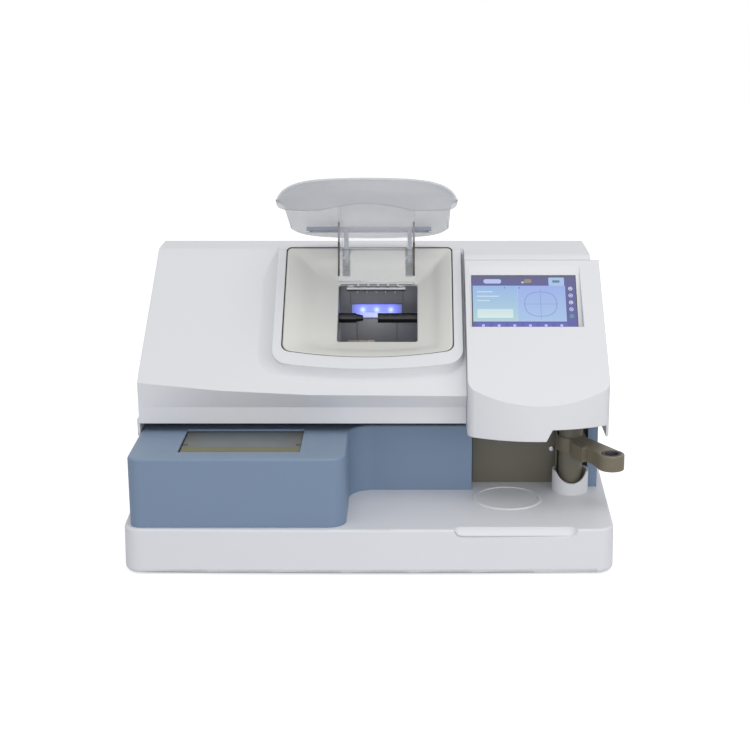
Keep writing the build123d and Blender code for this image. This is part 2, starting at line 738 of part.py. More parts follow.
with BuildPart() as lid_guard:
    # front pane and two side panes, bent from one sheet
    with BuildSketch(lid_side(guard_x)):
        with BuildLine():
            Polyline((guard_foot, -guard_drop), (guard_front, pane_top),
                     (22, hood_top(22) - hood_wall - fit), (12, 24), (58, 4), (98, -24), (104, -guard_drop), close=True)
        make_face()
    extrude(amount=guard_half, both=True)
    with BuildSketch(lid_side(guard_x)):
        with BuildLine():
            Polyline((guard_foot - guard_wall, -guard_drop), (guard_front - guard_wall, pane_top),
                     (guard_front - guard_wall, pane_top + 50), (-50, pane_top + 50), (-50, -guard_drop - 50),
                     (guard_foot - guard_wall, -guard_drop - 50), close=True)
        make_face()
    extrude(amount=guard_half - guard_wall, both=True, mode=Mode.SUBTRACT)
    fillet(lid_guard.edges().filter_by(lambda e: abs(e.tangent_at(0.5).dot(up)) > 0.98)
           .sort_by(Axis.Y)[:2], 2.5)
    # the bracket passes over the side panes
    with BuildSketch(lid_side(guard_x)):
        with Locations((bracket_mid, bracket_face)):
            Rectangle(bracket_width + 2 * fit, 2 * (bracket_thick + fit))
    extrude(amount=guard_half + 1, both=True, mode=Mode.SUBTRACT)
save(lid_guard.part, "lid_guard")

with BuildPart() as lid_bracket:
    with BuildSketch(lid_side(0)):
        with BuildLine():
            Polyline((bracket_from, bracket_face), (bracket_from, bracket_face - bracket_thick),
                     (bracket_from + bracket_width, bracket_face - bracket_thick),
                     (bracket_from + bracket_width, bracket_face), close=True)
        make_face()
    extrude(amount=bracket_half, both=True)
    # hinge arms
    for sx in (-1, 1):
        with BuildSketch(lid_side(guard_x + sx * hinge_spread + arm_plate_thick / 2)):
            with BuildLine():
                Polyline((-hinge_eye, 0), (hinge_eye - 2, -4), (bracket_from + bracket_width, bracket_face - 10),
                         (bracket_from + bracket_width, bracket_face - bracket_thick),
                         (bracket_from - 4, bracket_face - bracket_thick), close=True)
            make_face()
            Circle(hinge_eye)
            Circle(hinge_radius + running, mode=Mode.SUBTRACT)
        extrude(amount=arm_plate_thick)
save(lid_bracket.part, "lid_bracket")

screw_radius = 3.6

with BuildPart() as lid_screws:
    for sx in (-1, 1):
        with BuildSketch(Plane(hinge_point + Vector(sx * (bracket_half - screw_radius), 0, 0) + along * bracket_mid
                               + up * (bracket_face - bracket_thick), x_dir=(1, 0, 0), z_dir=up)):
            Circle(screw_radius)
        extrude(amount=-2.4)
save(lid_screws.part, "lid_screws")

with BuildPart() as hinge_pin:
    with BuildSketch(Plane.YZ.offset(mouth_x - hinge_spread - 20)):
        with Locations((hinge_y, hinge_z)):
            Circle(hinge_radius)
    extrude(amount=2 * hinge_spread + 40)
save(hinge_pin.part, "hinge_pin")

with BuildPart() as hinge_brackets:
    for sx in (-1, 1):
        for inner in (-1, 1):
            x = mouth_x + sx * hinge_spread + inner * 8 - 2
            with BuildSketch(side(x)):
                with BuildLine():
                    Polyline((hinge_y - 7, hinge_z - 9), (hinge_y + 18, hinge_z - 9),
                             (hinge_y + 18, top_z - fit / 2), (at(slope_end), top_z - fit / 2),
                             (hinge_y - 7, slope_z(hinge_depth - 7) - fit / 2), close=True)
                make_face()
                with Locations((hinge_y, hinge_z)):
                    Circle(hinge_radius + running, mode=Mode.SUBTRACT)
            extrude(amount=4)
save(hinge_brackets.part, "hinge_brackets")

# ---------------------------------------------------------------- grinding spindle, motor and belt
wheel_y = at(wheel_depth)
motor_y = at(motor_depth)
chamber_left = mouth_x - mouth_half - chamber_wall
chamber_right = mouth_x + mouth_half + chamber_wall
bearing_radius = 18.0
bearing_width = 8.0
pulley_width = 9.0
pulley_x = chamber_left - bearing_width - 2 - pulley_width
motor_pulley_radius = 16.0
motor_left, motor_right = chamber_left + 8, chamber_right


def bar(x, y, z, radius, length):
    """Cylinder along X, starting at x."""
    with BuildPart() as rod:
        with BuildSketch(Plane.YZ.offset(x)):
            with Locations((y, z)):
                Circle(radius)
        extrude(amount=length)
    return rod.part


with BuildPart() as spindle:
    add(bar(pulley_x - 4, wheel_y, wheel_z, spindle_radius, chamber_right + bearing_width + 4 - pulley_x + 4))
    add(bar(pulley_x, wheel_y, wheel_z, pulley_radius, pulley_width))
    with BuildSketch(Plane.YZ.offset(pulley_x + 1.2)):
        with Locations((wheel_y, wheel_z)):
            Circle(pulley_radius + 1)
            Circle(pulley_radius - belt_thick, mode=Mode.SUBTRACT)
    extrude(amount=pulley_width - 2.4, mode=Mode.SUBTRACT)
save(spindle.part, "spindle")

with BuildPart() as grinding_wheels:
    x = wheel_stack_x
    for width in wheel_widths:
        with BuildSketch(Plane.YZ.offset(x)):
            with Locations((wheel_y, wheel_z)):
                Circle(wheel_radius)
                Circle(spindle_radius, mode=Mode.SUBTRACT)
        extrude(amount=width - 1)
        with BuildSketch(Plane.YZ.offset(x + width - 1)):
            with Locations((wheel_y, wheel_z)):
                Circle(wheel_radius - 8)
                Circle(spindle_radius, mode=Mode.SUBTRACT)
        extrude(amount=1)
        x += width
save(grinding_wheels.part, "grinding_wheels")

with BuildPart() as spindle_bearings:
    for x in (chamber_left - bearing_width, chamber_right):
        with BuildSketch(Plane.YZ.offset(x)):
            with Locations((wheel_y, wheel_z)):
                Circle(bearing_radius)
                Circle(spindle_radius + running, mode=Mode.SUBTRACT)
        extrude(amount=bearing_width)
save(spindle_bearings.part, "spindle_bearings")

with BuildPart() as spindle_motor:
    add(bar(motor_left, motor_y, motor_z, motor_radius, motor_right - motor_left))
    add(bar(motor_left - 4, motor_y, motor_z, 14, 4))
    with Locations(((motor_left + motor_right) / 2, motor_y, base_top + chassis_thick)):
        Box(60, 54, motor_z - base_top - chassis_thick, align=(Align.CENTER, Align.CENTER, Align.MIN))
    with BuildSketch(Plane.YZ.offset(motor_left - 5)):
        with Locations((motor_y, motor_z)):
            Circle(6 + running)
    extrude(amount=20, mode=Mode.SUBTRACT)
save(spindle_motor.part, "spindle_motor")

with BuildPart() as motor_shaft:
    add(bar(pulley_x - 2, motor_y, motor_z, 6, motor_left + 10 - pulley_x))
    add(bar(pulley_x, motor_y, motor_z, motor_pulley_radius, pulley_width))
    with BuildSketch(Plane.YZ.offset(pulley_x + 1.2)):
        with Locations((motor_y, motor_z)):
            Circle(motor_pulley_radius + 1)
            Circle(motor_pulley_radius - belt_thick, mode=Mode.SUBTRACT)
    extrude(amount=pulley_width - 2.4, mode=Mode.SUBTRACT)
save(motor_shaft.part, "motor_shaft")

# the belt runs in the two pulleys' grooves
run_y, run_z = motor_y - wheel_y, motor_z - wheel_z
run_length = sqrt(run_y ** 2 + run_z ** 2)
belt_angle = degrees(atan2(run_z, run_y))
big, small = pulley_radius - belt_thick + 0.3, motor_pulley_radius - belt_thick + 0.3
belt_plane = Plane(origin=(pulley_x + 2, wheel_y, wheel_z), x_dir=(0, run_y, run_z), z_dir=(1, 0, 0))


def belt_outline(grow):
    """Outline around both pulleys, in the belt's own plane."""
    r0, r1 = big + grow, small + grow
    tip = (r0 - r1) / run_length
    c, s = sqrt(1 - tip ** 2), tip
    with BuildSketch() as outline:
        with BuildLine():
            a = (r0 * s, r0 * c)
            b = (run_length + r1 * s, r1 * c)
            Line(a, b)
            ThreePointArc(b, (run_length + r1, 0), (b[0], -b[1]))
            Line((b[0], -b[1]), (a[0], -a[1]))
            ThreePointArc((a[0], -a[1]), (-r0, 0), a)
        make_face()
    return outline.sketch


with BuildPart() as drive_belt:
    with BuildSketch(belt_plane):
        add(belt_outline(belt_thick - 0.6))
        add(belt_outline(0), mode=Mode.SUBTRACT)
    extrude(amount=pulley_width - 4)
save(drive_belt.part, "drive_belt")

# ---------------------------------------------------------------- carriage and lens shafts
left_arm_x = chamber_left - arm_gap - arm_plate
right_arm_x = chamber_right + arm_gap
shaft_y = at(shaft_depth)
pivot_y = at(pivot_depth)
sleeve_wall = 4.0
shaft_boss = 14.0
pivot_boss = pivot_radius + sleeve_wall + 5
arm_slope = degrees(atan2(pivot_to_shaft[1], pivot_to_shaft[0]))

with BuildPart() as carriage_rail:
    add(bar(cheek_left - cheek_thick, pivot_y, pivot_z, pivot_radius, cheek_right - cheek_left + 2 * cheek_thick))
save(carriage_rail.part, "carriage_rail")

with BuildPart() as carriage_sleeve:
    sleeve_x = left_arm_x - 4
    sleeve_length = right_arm_x + arm_plate + 8 - left_arm_x
    add(bar(sleeve_x, pivot_y, pivot_z, pivot_radius + sleeve_wall, sleeve_length))
    for x in (sleeve_x, sleeve_x + sleeve_length - 3.5):
        add(bar(x, pivot_y, pivot_z, pivot_boss, 3.5))
    with BuildSketch(Plane.YZ.offset(sleeve_x)):
        with Locations((pivot_y, pivot_z)):
            Circle(pivot_radius + running)
    extrude(amount=sleeve_length, mode=Mode.SUBTRACT)
save(carriage_sleeve.part, "carriage_sleeve")

with BuildPart() as carriage_arms:
    for x in (left_arm_x, right_arm_x):
        add(bar(x, pivot_y, pivot_z, pivot_boss, arm_plate))
        add(bar(x, shaft_y, shaft_z, shaft_boss, arm_plate))
        with BuildSketch(Plane.YZ.offset(x)):
            with Locations(((pivot_y + shaft_y) / 2, (pivot_z + shaft_z) / 2)):
                Rectangle(sqrt(pivot_to_shaft[0] ** 2 + pivot_to_shaft[1] ** 2), 20, rotation=arm_slope)
        extrude(amount=arm_plate)
    # tie bar behind the chamber
    add(bar(left_arm_x, pivot_y, pivot_z, pivot_boss - 1, right_arm_x - left_arm_x))
    with BuildSketch(Plane.YZ.offset(left_arm_x - 1)):
        with Locations((pivot_y, pivot_z)):
            Circle(pivot_radius + sleeve_wall + running)
        with Locations((shaft_y, shaft_z)):
            Circle(shaft_radius + running)
    extrude(amount=right_arm_x - left_arm_x + arm_plate + 2, mode=Mode.SUBTRACT)
    add(bar(right_arm_x - 1, shaft_y, shaft_z, quill_radius + running, arm_plate + 2), mode=Mode.SUBTRACT)
save(carriage_arms.part, "carriage_arms")

chuck_taper = 10.0

with BuildPart() as left_lens_shaft:
    add(bar(left_arm_x - 8, shaft_y, shaft_z, shaft_radius, lens_face_x - chuck_taper - left_arm_x + 8))
    add(bar(left_arm_x - 5, shaft_y, shaft_z, shaft_radius + 4, 4))
    add(bar(left_arm_x + arm_plate + 0.5, shaft_y, shaft_z, shaft_radius + 2, 2))
    # the chuck narrows to the lens
    with BuildSketch(Plane.YZ.offset(lens_face_x - chuck_taper)):
        with Locations((shaft_y, shaft_z)):
            Circle(shaft_radius - 1)
    extrude(amount=chuck_taper, taper=12)
save(left_lens_shaft.part, "left_lens_shaft")

right_tip = lens_face_x + clamp_gap
quill_x = right_arm_x - 4.5
quill_length = arm_plate + 15.0
collar_thick = 2.5

with BuildPart() as right_lens_shaft:
    add(bar(right_tip, shaft_y, shaft_z, shaft_radius, quill_x + quill_length + 3 - right_tip))
    # collars on either side of the quill
    for x in (quill_x - collar_thick - 0.5, quill_x + quill_length + 0.5):
        add(bar(x, shaft_y, shaft_z, shaft_radius + 2, collar_thick))
save(right_lens_shaft.part, "right_lens_shaft")

with BuildPart() as clamp_quill:
    add(bar(quill_x, shaft_y, shaft_z, quill_radius, quill_length))
    add(bar(quill_x, shaft_y, shaft_z, shaft_radius + running, quill_length), mode=Mode.SUBTRACT)
save(clamp_quill.part, "clamp_quill")


# ---------------------------------------------------------------- console and screen
def console_outline(inset):
    """Plan of the console, with its bowed front."""
    left, right = console_left + inset, console_right - inset
    near, far = at(console_front) + inset, at(console_rear) - inset
    with BuildSketch() as outline:
        with BuildLine():
            ThreePointArc((left, near + console_bow), ((left + right) / 2, near), (right, near + console_bow))
            Polyline((right, near + console_bow), (right, far), (left, far), (left, near + console_bow))
        make_face()
        fillet(outline.vertices().sort_by(Axis.Y)[:2], 16 - inset)
    return outline.sketch


def screen_plane(height):
    """Plane of the screen pocket's floor: local x runs with X, local y up the screen from the pocket's top edge."""
    normal = Vector(0, -sin(radians(screen_tilt)), cos(radians(screen_tilt)))
    corner = Vector(0, at(pocket_top), slope_z(pocket_top, console_lift))
    return Plane(origin=corner + normal * height, x_dir=(1, 0, 0), z_dir=normal)


def console_form(inset):
    """Solid shape of the console with its screen pocket and the notch over the blocker."""
    with BuildPart() as form:
        with BuildSketch(level(console_z + inset)):
            add(console_outline(inset))
        extrude(amount=300)
        with BuildSketch(tilted(console_lift - inset)):
            Rectangle(1500, 1500)
        extrude(amount=400, mode=Mode.SUBTRACT)
        with BuildSketch(front(0)):
            with BuildLine():
                Polyline((notch_left - inset, console_z - 5), (notch_left + 10.5 - inset, console_z + notch_height + inset),
                         (console_right - side_apron + inset, console_z + notch_height + inset),
                         (console_right - side_apron + inset, console_z - 5), close=True)
            make_face()
        extrude(amount=-2 * base_depth, mode=Mode.SUBTRACT)
        with BuildSketch(screen_plane(-inset)):
            with Locations(((pocket_left + pocket_right) / 2, -pocket_length / 2)):
                Rectangle(pocket_right - pocket_left + 2 * inset, pocket_length + 2 * inset)
        extrude(amount=60, mode=Mode.SUBTRACT)
    return form.part


glass_middle = (screen_x, -pocket_above - screen_length / 2)

with BuildPart() as console_shell:
    add(console_form(0))
    add(console_form(console_wall), mode=Mode.SUBTRACT)
    with BuildSketch(screen_plane(0)):
        with Locations(glass_middle):
            Rectangle(screen_width + fit, screen_length + fit)
    extrude(amount=-2 * console_wall, mode=Mode.SUBTRACT)
    with BuildSketch(level(console_z)):
        with Locations((column_x, at(column_depth))):
            Circle(column_radius + 2)
    extrude(amount=notch_height + 2 * console_wall, mode=Mode.SUBTRACT)
save(console_shell.part, "console_shell")

tray_depth = 9.0

with BuildPart() as touch_screen:
    with BuildSketch(screen_plane(0.4)):
        with Locations(glass_middle):
            RectangleRounded(screen_width, screen_length, 1)
    extrude(amount=-glass_thick - 0.4)
save(touch_screen.part, "touch_screen")

with BuildPart() as display_tray:
    with BuildSketch(screen_plane(-console_wall)):
        with Locations(glass_middle):
            RectangleRounded(screen_width + 9, screen_length + 9, 3)
    extrude(amount=-tray_depth)
    with BuildSketch(screen_plane(-console_wall - 1.5)):
        with Locations(glass_middle):
            Rectangle(screen_width - 6, screen_length - 6)
    extrude(amount=-tray_depth + 3, mode=Mode.SUBTRACT)
save(display_tray.part, "display_tray")

# ---------------------------------------------------------------- lens blocker
column_y = at(column_depth)
stage_y = at(stage_depth)
plate_top = base_bottom + 1 + plate_thick

with BuildPart() as stage_ring:
    with BuildSketch(level(base_top)):
        with Locations((stage_x, stage_y)):
            Circle(stage_radius + stage_ring_width)
    extrude(amount=1.5)
    fillet(stage_ring.edges().group_by(Axis.Z)[-1], 1)
    with BuildSketch(level(base_top)):
        with Locations((stage_x, stage_y)):
            Circle(stage_radius + stage_ring_width - 2 - fit)
    extrude(amount=-6)
    with BuildSketch(level(base_top + 2)):
        with Locations((stage_x, stage_y)):
            Circle(stage_radius)
    extrude(amount=-5, mode=Mode.SUBTRACT)
    with BuildSketch(level(base_top - 8)):
        with Locations((stage_x, stage_y)):
            Circle(stage_radius - 3)
    extrude(amount=10, mode=Mode.SUBTRACT)
save(stage_ring.part, "stage_ring")

with BuildPart() as stage_glass:
    with BuildSketch(level(base_top - 3)):
        with Locations((stage_x, stage_y)):
            Circle(stage_radius - fit / 2)
    extrude(amount=3.5)
save(stage_glass.part, "stage_glass")

with BuildPart() as column_cup:
    with BuildSketch(level(base_top)):
        with Locations((column_x, column_y)):
            Circle(cup_radius)
            Circle(cup_radius - cup_wall, mode=Mode.SUBTRACT)
    extrude(amount=cup_height)
    # the rim dips at the front
    with BuildSketch(front(column_depth)):
        with Locations((column_x, base_top + cup_height + 8)):
            Circle(cup_radius - 3)
    extrude(amount=60, mode=Mode.SUBTRACT)
save(column_cup.part, "column_cup")

with BuildPart() as column_post:
    with BuildSketch(level(plate_top)):
        with Locations((column_x, column_y)):
            Circle(post_radius)
    extrude(amount=slope_z(column_depth, console_lift) - console_wall / lean - 12 - plate_top)
save(column_post.part, "column_post")

collar_height = 8.0

with BuildPart() as column_collar:
    with BuildSketch(level(plate_top)):
        with Locations((column_x, column_y)):
            Circle(column_radius - 1)
            Circle(post_radius + running, mode=Mode.SUBTRACT)
    extrude(amount=collar_height)
save(column_collar.part, "column_collar")

column_low = plate_top + collar_height + press_travel + 2

with BuildPart() as blocker_column:
    with BuildSketch(level(column_low)):
        with Locations((column_x, column_y)):
            Circle(column_radius)
            Circle(post_radius + running, mode=Mode.SUBTRACT)
    extrude(amount=console_z + notch_height + press_travel + 20 - column_low)
save(blocker_column.part, "blocker_column")

arm_boss = column_radius + 3
shell_gap = 3.5
shell_wall = 1.8
shell_from, shell_to = 45.0, 158.0

with BuildPart() as column_guard:
    with BuildSketch(level(base_top)):
        with BuildLine():
            inner, outer = column_radius + shell_gap, column_radius + shell_gap + shell_wall
            CenterArc((column_x, column_y), inner, shell_from, shell_to - shell_from)
            CenterArc((column_x, column_y), outer, shell_from, shell_to - shell_from)
            for angle in (shell_from, shell_to):
                ray = (cos(radians(angle)), sin(radians(angle)))
                Line((column_x + inner * ray[0], column_y + inner * ray[1]),
                     (column_x + outer * ray[0], column_y + outer * ray[1]))
        make_face()
    extrude(amount=console_z + notch_height - base_top - fit)
save(column_guard.part, "column_guard")

arm_plane = Plane(origin=(column_x, column_y, arm_top_z), x_dir=(cos(radians(arm_rest_angle)),
                  sin(radians(arm_rest_angle)), 0), z_dir=(0, 0, 1))
pad_from, pad_length, pad_width = 34.0, 20.0, 12.0
pad_side = -12.0
neck_half = 12.5
pad_travel = 2.5
pad_pocket = 7.0
pad_tall = 5.0

with BuildPart() as blocker_arm:
    with BuildSketch(arm_plane):
        Circle(arm_boss)
        with Locations((arm_length, 0)):
            Circle(arm_radius)
        with BuildLine():
            Polyline((0, neck_half), (arm_length - 4, arm_radius - 1), (arm_length - 4, 1 - arm_radius),
                     (arm_length - 26, -neck_half), (0, -neck_half), close=True)
        make_face()
        with Locations((pad_from + pad_length / 2, pad_side)):
            Rectangle(pad_length + 6, pad_width + 5)
    extrude(amount=-arm_thick)
    fillet(blocker_arm.edges().group_by(Axis.Z)[-1], 2)
    with BuildSketch(arm_plane):
        Circle(column_radius)
        with Locations((arm_length, 0)):
            Circle(socket_radius)
    extrude(amount=-arm_thick, mode=Mode.SUBTRACT)
    with BuildSketch(arm_plane.offset(-pad_pocket)):
        with Locations((pad_from + pad_length / 2, pad_side)):
            Rectangle(pad_length + fit * 2, pad_width + fit * 2)
    extrude(amount=10, mode=Mode.SUBTRACT)
save(blocker_arm.part, "blocker_arm")

with BuildPart() as block_socket:
    with BuildSketch(arm_plane.offset(-1)):
        with Locations((arm_length, 0)):
            Circle(socket_radius)
            Circle(socket_radius - 4, mode=Mode.SUBTRACT)
            with PolarLocations(socket_radius - 4, 6):
                Rectangle(3, 3.4, mode=Mode.SUBTRACT)
    extrude(amount=2 - arm_thick)
save(block_socket.part, "block_socket")

with BuildPart() as release_pad:
    with BuildSketch(arm_plane.offset(pad_travel - pad_pocket + 0.3)):
        with Locations((pad_from + pad_length / 2, pad_side)):
            Rectangle(pad_length, pad_width)
    extrude(amount=pad_tall)
    with BuildSketch(arm_plane.offset(pad_travel - pad_pocket + 0.3 + pad_tall)):
        with Locations((pad_from + pad_length / 2, pad_side)):
            with GridLocations(3.2, 3.2, 6, 4):
                Rectangle(1.9, 1.9)
    extrude(amount=0.6)
save(release_pad.part, "release_pad")

with BuildPart() as niche_panel:
    with BuildSketch(front(niche_depth - fit)):
        with Locations(((niche_left + niche_right) / 2, base_top + body_height / 2)):
            Rectangle(niche_right - niche_left - 4, body_height)
    extrude(amount=3)
save(niche_panel.part, "niche_panel")

# ---------------------------------------------------------------- frame tracer
well_wall = 2.0
well_drop = 45.0
well_length = tracer_length + 2 * (jaw_travel + 2)
tracer_y = at(tracer_front + tracer_length / 2)
rail_inset = 9.0
rail_z = body_top - jaw_drop - jaw_thick - guide_radius - 4

with BuildPart() as tracer_well:
    with BuildSketch(level(body_top - body_wall - jaw_thick - jaw_drop)):
        with Locations((tracer_middle, tracer_y)):
            RectangleRounded(tracer_width + 2 * well_wall, well_length + 2 * well_wall, 3)
    extrude(amount=jaw_thick + jaw_drop)
    with BuildSketch(level(body_top - body_wall)):
        with Locations((tracer_middle, tracer_y)):
            RectangleRounded(tracer_width + 2 * well_wall, well_length + 2 * well_wall, 3)
    extrude(amount=-well_drop)
    with BuildSketch(level(body_top - body_wall)):
        with Locations((tracer_middle, tracer_y)):
            RectangleRounded(tracer_width, well_length, 2)
    extrude(amount=well_wall - well_drop, mode=Mode.SUBTRACT)
save(tracer_well.part, "tracer_well")

well_floor = body_top - body_wall - well_drop + well_wall

with BuildPart() as tracer_rails:
    for rail_x in (tracer_left + rail_inset, tracer_right - rail_inset):
        with BuildSketch(Plane(origin=(rail_x, tracer_y - well_length / 2, rail_z), x_dir=(1, 0, 0), z_dir=(0, 1, 0))):
            Circle(guide_radius)
        extrude(amount=well_length)
save(tracer_rails.part, "tracer_rails")

jaw_boss = guide_radius + 3
jaw_side_gap = 1.0
pad_strip = 19.0           # rubber-faced part of the front jaw
side_notch = (7.0, 6.0)


def jaw(near_depth, far_depth):
    """One of the two clamp jaws, closed: a plate between two depths with two bosses on the guide rods."""
    mid, length = (near_depth + far_depth) / 2, far_depth - near_depth
    with BuildPart() as plate:
        with BuildSketch(level(body_top - jaw_drop)):
            with Locations((tracer_middle, at(mid))):
                Rectangle(tracer_width - 2 * jaw_side_gap, length)
        extrude(amount=-jaw_thick)
        for rail_x in (tracer_left + rail_inset, tracer_right - rail_inset):
            with BuildSketch(level(body_top - jaw_drop - jaw_thick)):
                with Locations((rail_x, at(mid))):
                    Rectangle(2 * jaw_boss, length - 6)
            extrude(amount=-2 * jaw_boss)
            with BuildSketch(Plane(origin=(rail_x, at(mid), rail_z), x_dir=(1, 0, 0), z_dir=(0, -1, 0))):
                Circle(guide_radius + running)
            extrude(amount=length, both=True, mode=Mode.SUBTRACT)
    return plate.part


jaw_split = tracer_front + front_jaw_length

with BuildPart() as front_jaw:
    add(jaw(tracer_front + fit, jaw_split))
    # groove between the bare strip and the rubber-faced one
    with BuildSketch(level(body_top - jaw_drop)):
        with Locations((tracer_middle, at(jaw_split - pad_strip - 2))):
            Rectangle(tracer_width, 1.2)
    extrude(amount=-0.8, mode=Mode.SUBTRACT)
save(front_jaw.part, "front_jaw")

with BuildPart() as rear_jaw:
    add(jaw(jaw_split + 1, tracer_front + tracer_length - fit))
    with BuildSketch(level(body_top - jaw_drop)):
        with Locations(*[(tracer_middle + sx * (tracer_width / 2 - jaw_side_gap), at(jaw_split + 9)) for sx in (-1, 1)]):
            Rectangle(2 * side_notch[0], side_notch[1])
    extrude(amount=-jaw_thick, mode=Mode.SUBTRACT)
save(rear_jaw.part, "rear_jaw")

with BuildPart() as tracer_turntable:
    with BuildSketch(level(well_floor)):
        with Locations((tracer_middle, tracer_y)):
            Circle(9)
    extrude(amount=8)
    with BuildSketch(level(well_floor + 8)):
        with Locations((tracer_middle + 4, tracer_y)):
            Circle(2 + running)
    extrude(amount=-6, mode=Mode.SUBTRACT)
save(tracer_turntable.part, "tracer_turntable")

with BuildPart() as tracer_stylus:
    with BuildSketch(level(well_floor + 2.5)):
        with Locations((tracer_middle + 4, tracer_y)):
            Circle(2)
    extrude(amount=14)
    with BuildSketch(level(well_floor + 16.5)):
        with Locations((tracer_middle + 4, tracer_y)):
            Circle(3)
    extrude(amount=2)
save(tracer_stylus.part, "tracer_stylus")

# ---------------------------------------------------------------- back panel and electrics
panel_thick = 2.0
panel_z = base_top + body_height / 2
inlet_x, switch_x = 150.0, 188.0
fan_x, fan_size, fan_depth = -150.0, 60.0, 18.0
fitting_xs = (-70.0, -40.0)
switch_width, switch_height = 13.0, 19.0
inlet_width, inlet_height = 27.0, 20.0
hub_radius = 11.0
switch_depth = 12.0
switch_pivot = body_rear - 3.0

with BuildPart() as rear_panel:
    with BuildSketch(front(body_rear + panel_thick)):
        with Locations((0, panel_z)):
            RectangleRounded(rear_window[0], rear_window[1], 6)
        with Locations((inlet_x, panel_z)):
            Rectangle(inlet_width, inlet_height, mode=Mode.SUBTRACT)
        with Locations((switch_x, panel_z)):
            Rectangle(switch_width + 0.6, switch_height + 0.6, mode=Mode.SUBTRACT)
        with Locations(*[(x, panel_z) for x in fitting_xs]):
            Circle(6, mode=Mode.SUBTRACT)
        with Locations((fan_x, panel_z)):
            with GridLocations(0, 7, 1, 7):
                SlotOverall(46, 4, mode=Mode.SUBTRACT)
    extrude(amount=panel_thick)
    # rocker's housing behind the panel
    with BuildSketch(front(body_rear)):
        with Locations((switch_x, panel_z)):
            Rectangle(switch_width + 8, switch_height + 8)
            Rectangle(switch_width + 0.6, switch_height + 6, mode=Mode.SUBTRACT)
    extrude(amount=switch_depth)
    add(bar(switch_x - switch_width / 2 - 3, at(switch_pivot) - 1, panel_z, 1.5 + running, switch_width + 6),
        mode=Mode.SUBTRACT)
save(rear_panel.part, "rear_panel")

with BuildPart() as power_inlet:
    with BuildSketch(front(body_rear + panel_thick + 1.5)):
        with Locations((inlet_x, panel_z)):
            RectangleRounded(inlet_width + 6, inlet_height + 6, 3)
    extrude(amount=1.5)
    with BuildSketch(front(body_rear + panel_thick)):
        with Locations((inlet_x, panel_z)):
            Rectangle(inlet_width - 0.4, inlet_height - 0.4)
    extrude(amount=22)
    with BuildSketch(front(body_rear + panel_thick + 2)):
        with Locations((inlet_x, panel_z)):
            RectangleRounded(inlet_width - 4, inlet_height - 5, 3)
    extrude(amount=16, mode=Mode.SUBTRACT)
    with BuildSketch(front(body_rear - 4)):
        with Locations((inlet_x, panel_z + 2), (inlet_x - 7, panel_z - 2), (inlet_x + 7, panel_z - 2)):
            Rectangle(2, 4.5)
    extrude(amount=11)
save(power_inlet.part, "power_inlet")

with BuildPart() as hose_fittings:
    for x in fitting_xs:
        with BuildSketch(front(body_rear + panel_thick)):
            with Locations((x, panel_z)):
                Circle(5.8)
        extrude(amount=14)
        with BuildSketch(front(body_rear + panel_thick)):
            with Locations((x, panel_z)):
                RegularPolygon(9, 6)
        extrude(amount=-4)
        for step in range(3):
            with BuildSketch(front(body_rear + panel_thick + 4 + 4 * step)):
                with Locations((x, panel_z)):
                    Circle(5.6)
            extrude(amount=-4, taper=10)
        with BuildSketch(front(body_rear + panel_thick + 17)):
            with Locations((x, panel_z)):
                Circle(3)
        extrude(amount=25, mode=Mode.SUBTRACT)
save(hose_fittings.part, "hose_fittings")

with BuildPart() as power_switch:
    with BuildSketch(side(switch_x - switch_width / 2 + 0.2)):
        with BuildLine():
            half = switch_height / 2 - 1.5
            Polyline((at(switch_pivot) - 4, panel_z - 4), (at(switch_pivot) - 4, panel_z + 4),
                     (at(switch_pivot) + 2, panel_z + half), (at(body_rear) + 4, panel_z + half),
                     (at(body_rear) + 2.2, panel_z), (at(body_rear) + 1, panel_z - half),
                     (at(switch_pivot) - 0.5, panel_z - half), close=True)
        make_face()
    extrude(amount=switch_width - 0.4)
    add(bar(switch_x - switch_width / 2 - 2, at(switch_pivot) - 1, panel_z, 1.5, switch_width + 4))
save(power_switch.part, "power_switch")

with BuildPart() as fan_frame:
    with BuildSketch(front(body_rear - body_wall)):
        with Locations((fan_x, panel_z)):
            RectangleRounded(fan_size, fan_size, 4)
            Circle(fan_size / 2 - 2, mode=Mode.SUBTRACT)
    extrude(amount=fan_depth)
    # motor mount on three struts
    with BuildSketch(front(body_rear - body_wall - fan_depth + 3)):
        with Locations((fan_x, panel_z)):
            Circle(hub_radius)
            for angle in (90, 210, 330):
                with Locations(Location((0, 0, 0), (0, 0, angle))):
                    with Locations((fan_size / 4, 0)):
                        Rectangle(fan_size / 2 - 2, 4)
    extrude(amount=3)
    with BuildSketch(front(body_rear - body_wall - fan_depth + 10)):
        with Locations((fan_x, panel_z)):
            Circle(2)
    extrude(amount=8)
save(fan_frame.part, "fan_frame")

blade_count = 7

with BuildPart() as cooling_fan:
    with BuildSketch(front(body_rear - body_wall - 3)):
        with Locations((fan_x, panel_z)):
            Circle(hub_radius)
    extrude(amount=fan_depth - 6.5)
    for blade in range(blade_count):
        turn = blade * 360 / blade_count
        spoke = Plane(origin=(fan_x, at(body_rear - body_wall) - 9, panel_z), x_dir=(cos(radians(turn)), 0, sin(radians(turn))),
                      z_dir=(0, -1, 0))
        with BuildSketch(Plane(origin=spoke.origin + spoke.x_dir * (hub_radius - 1), x_dir=spoke.y_dir * cos(radians(35))
                               + spoke.z_dir * sin(radians(35)), z_dir=spoke.x_dir)):
            Rectangle(12, 1.2)
        extrude(amount=fan_size / 2 - 4 - hub_radius)
    with BuildSketch(front(body_rear - body_wall - fan_depth + 10.5)):
        with Locations((fan_x, panel_z)):
            Circle(2 + running)
    extrude(amount=10, mode=Mode.SUBTRACT)
save(cooling_fan.part, "cooling_fan")

chassis_top = base_top + chassis_thick

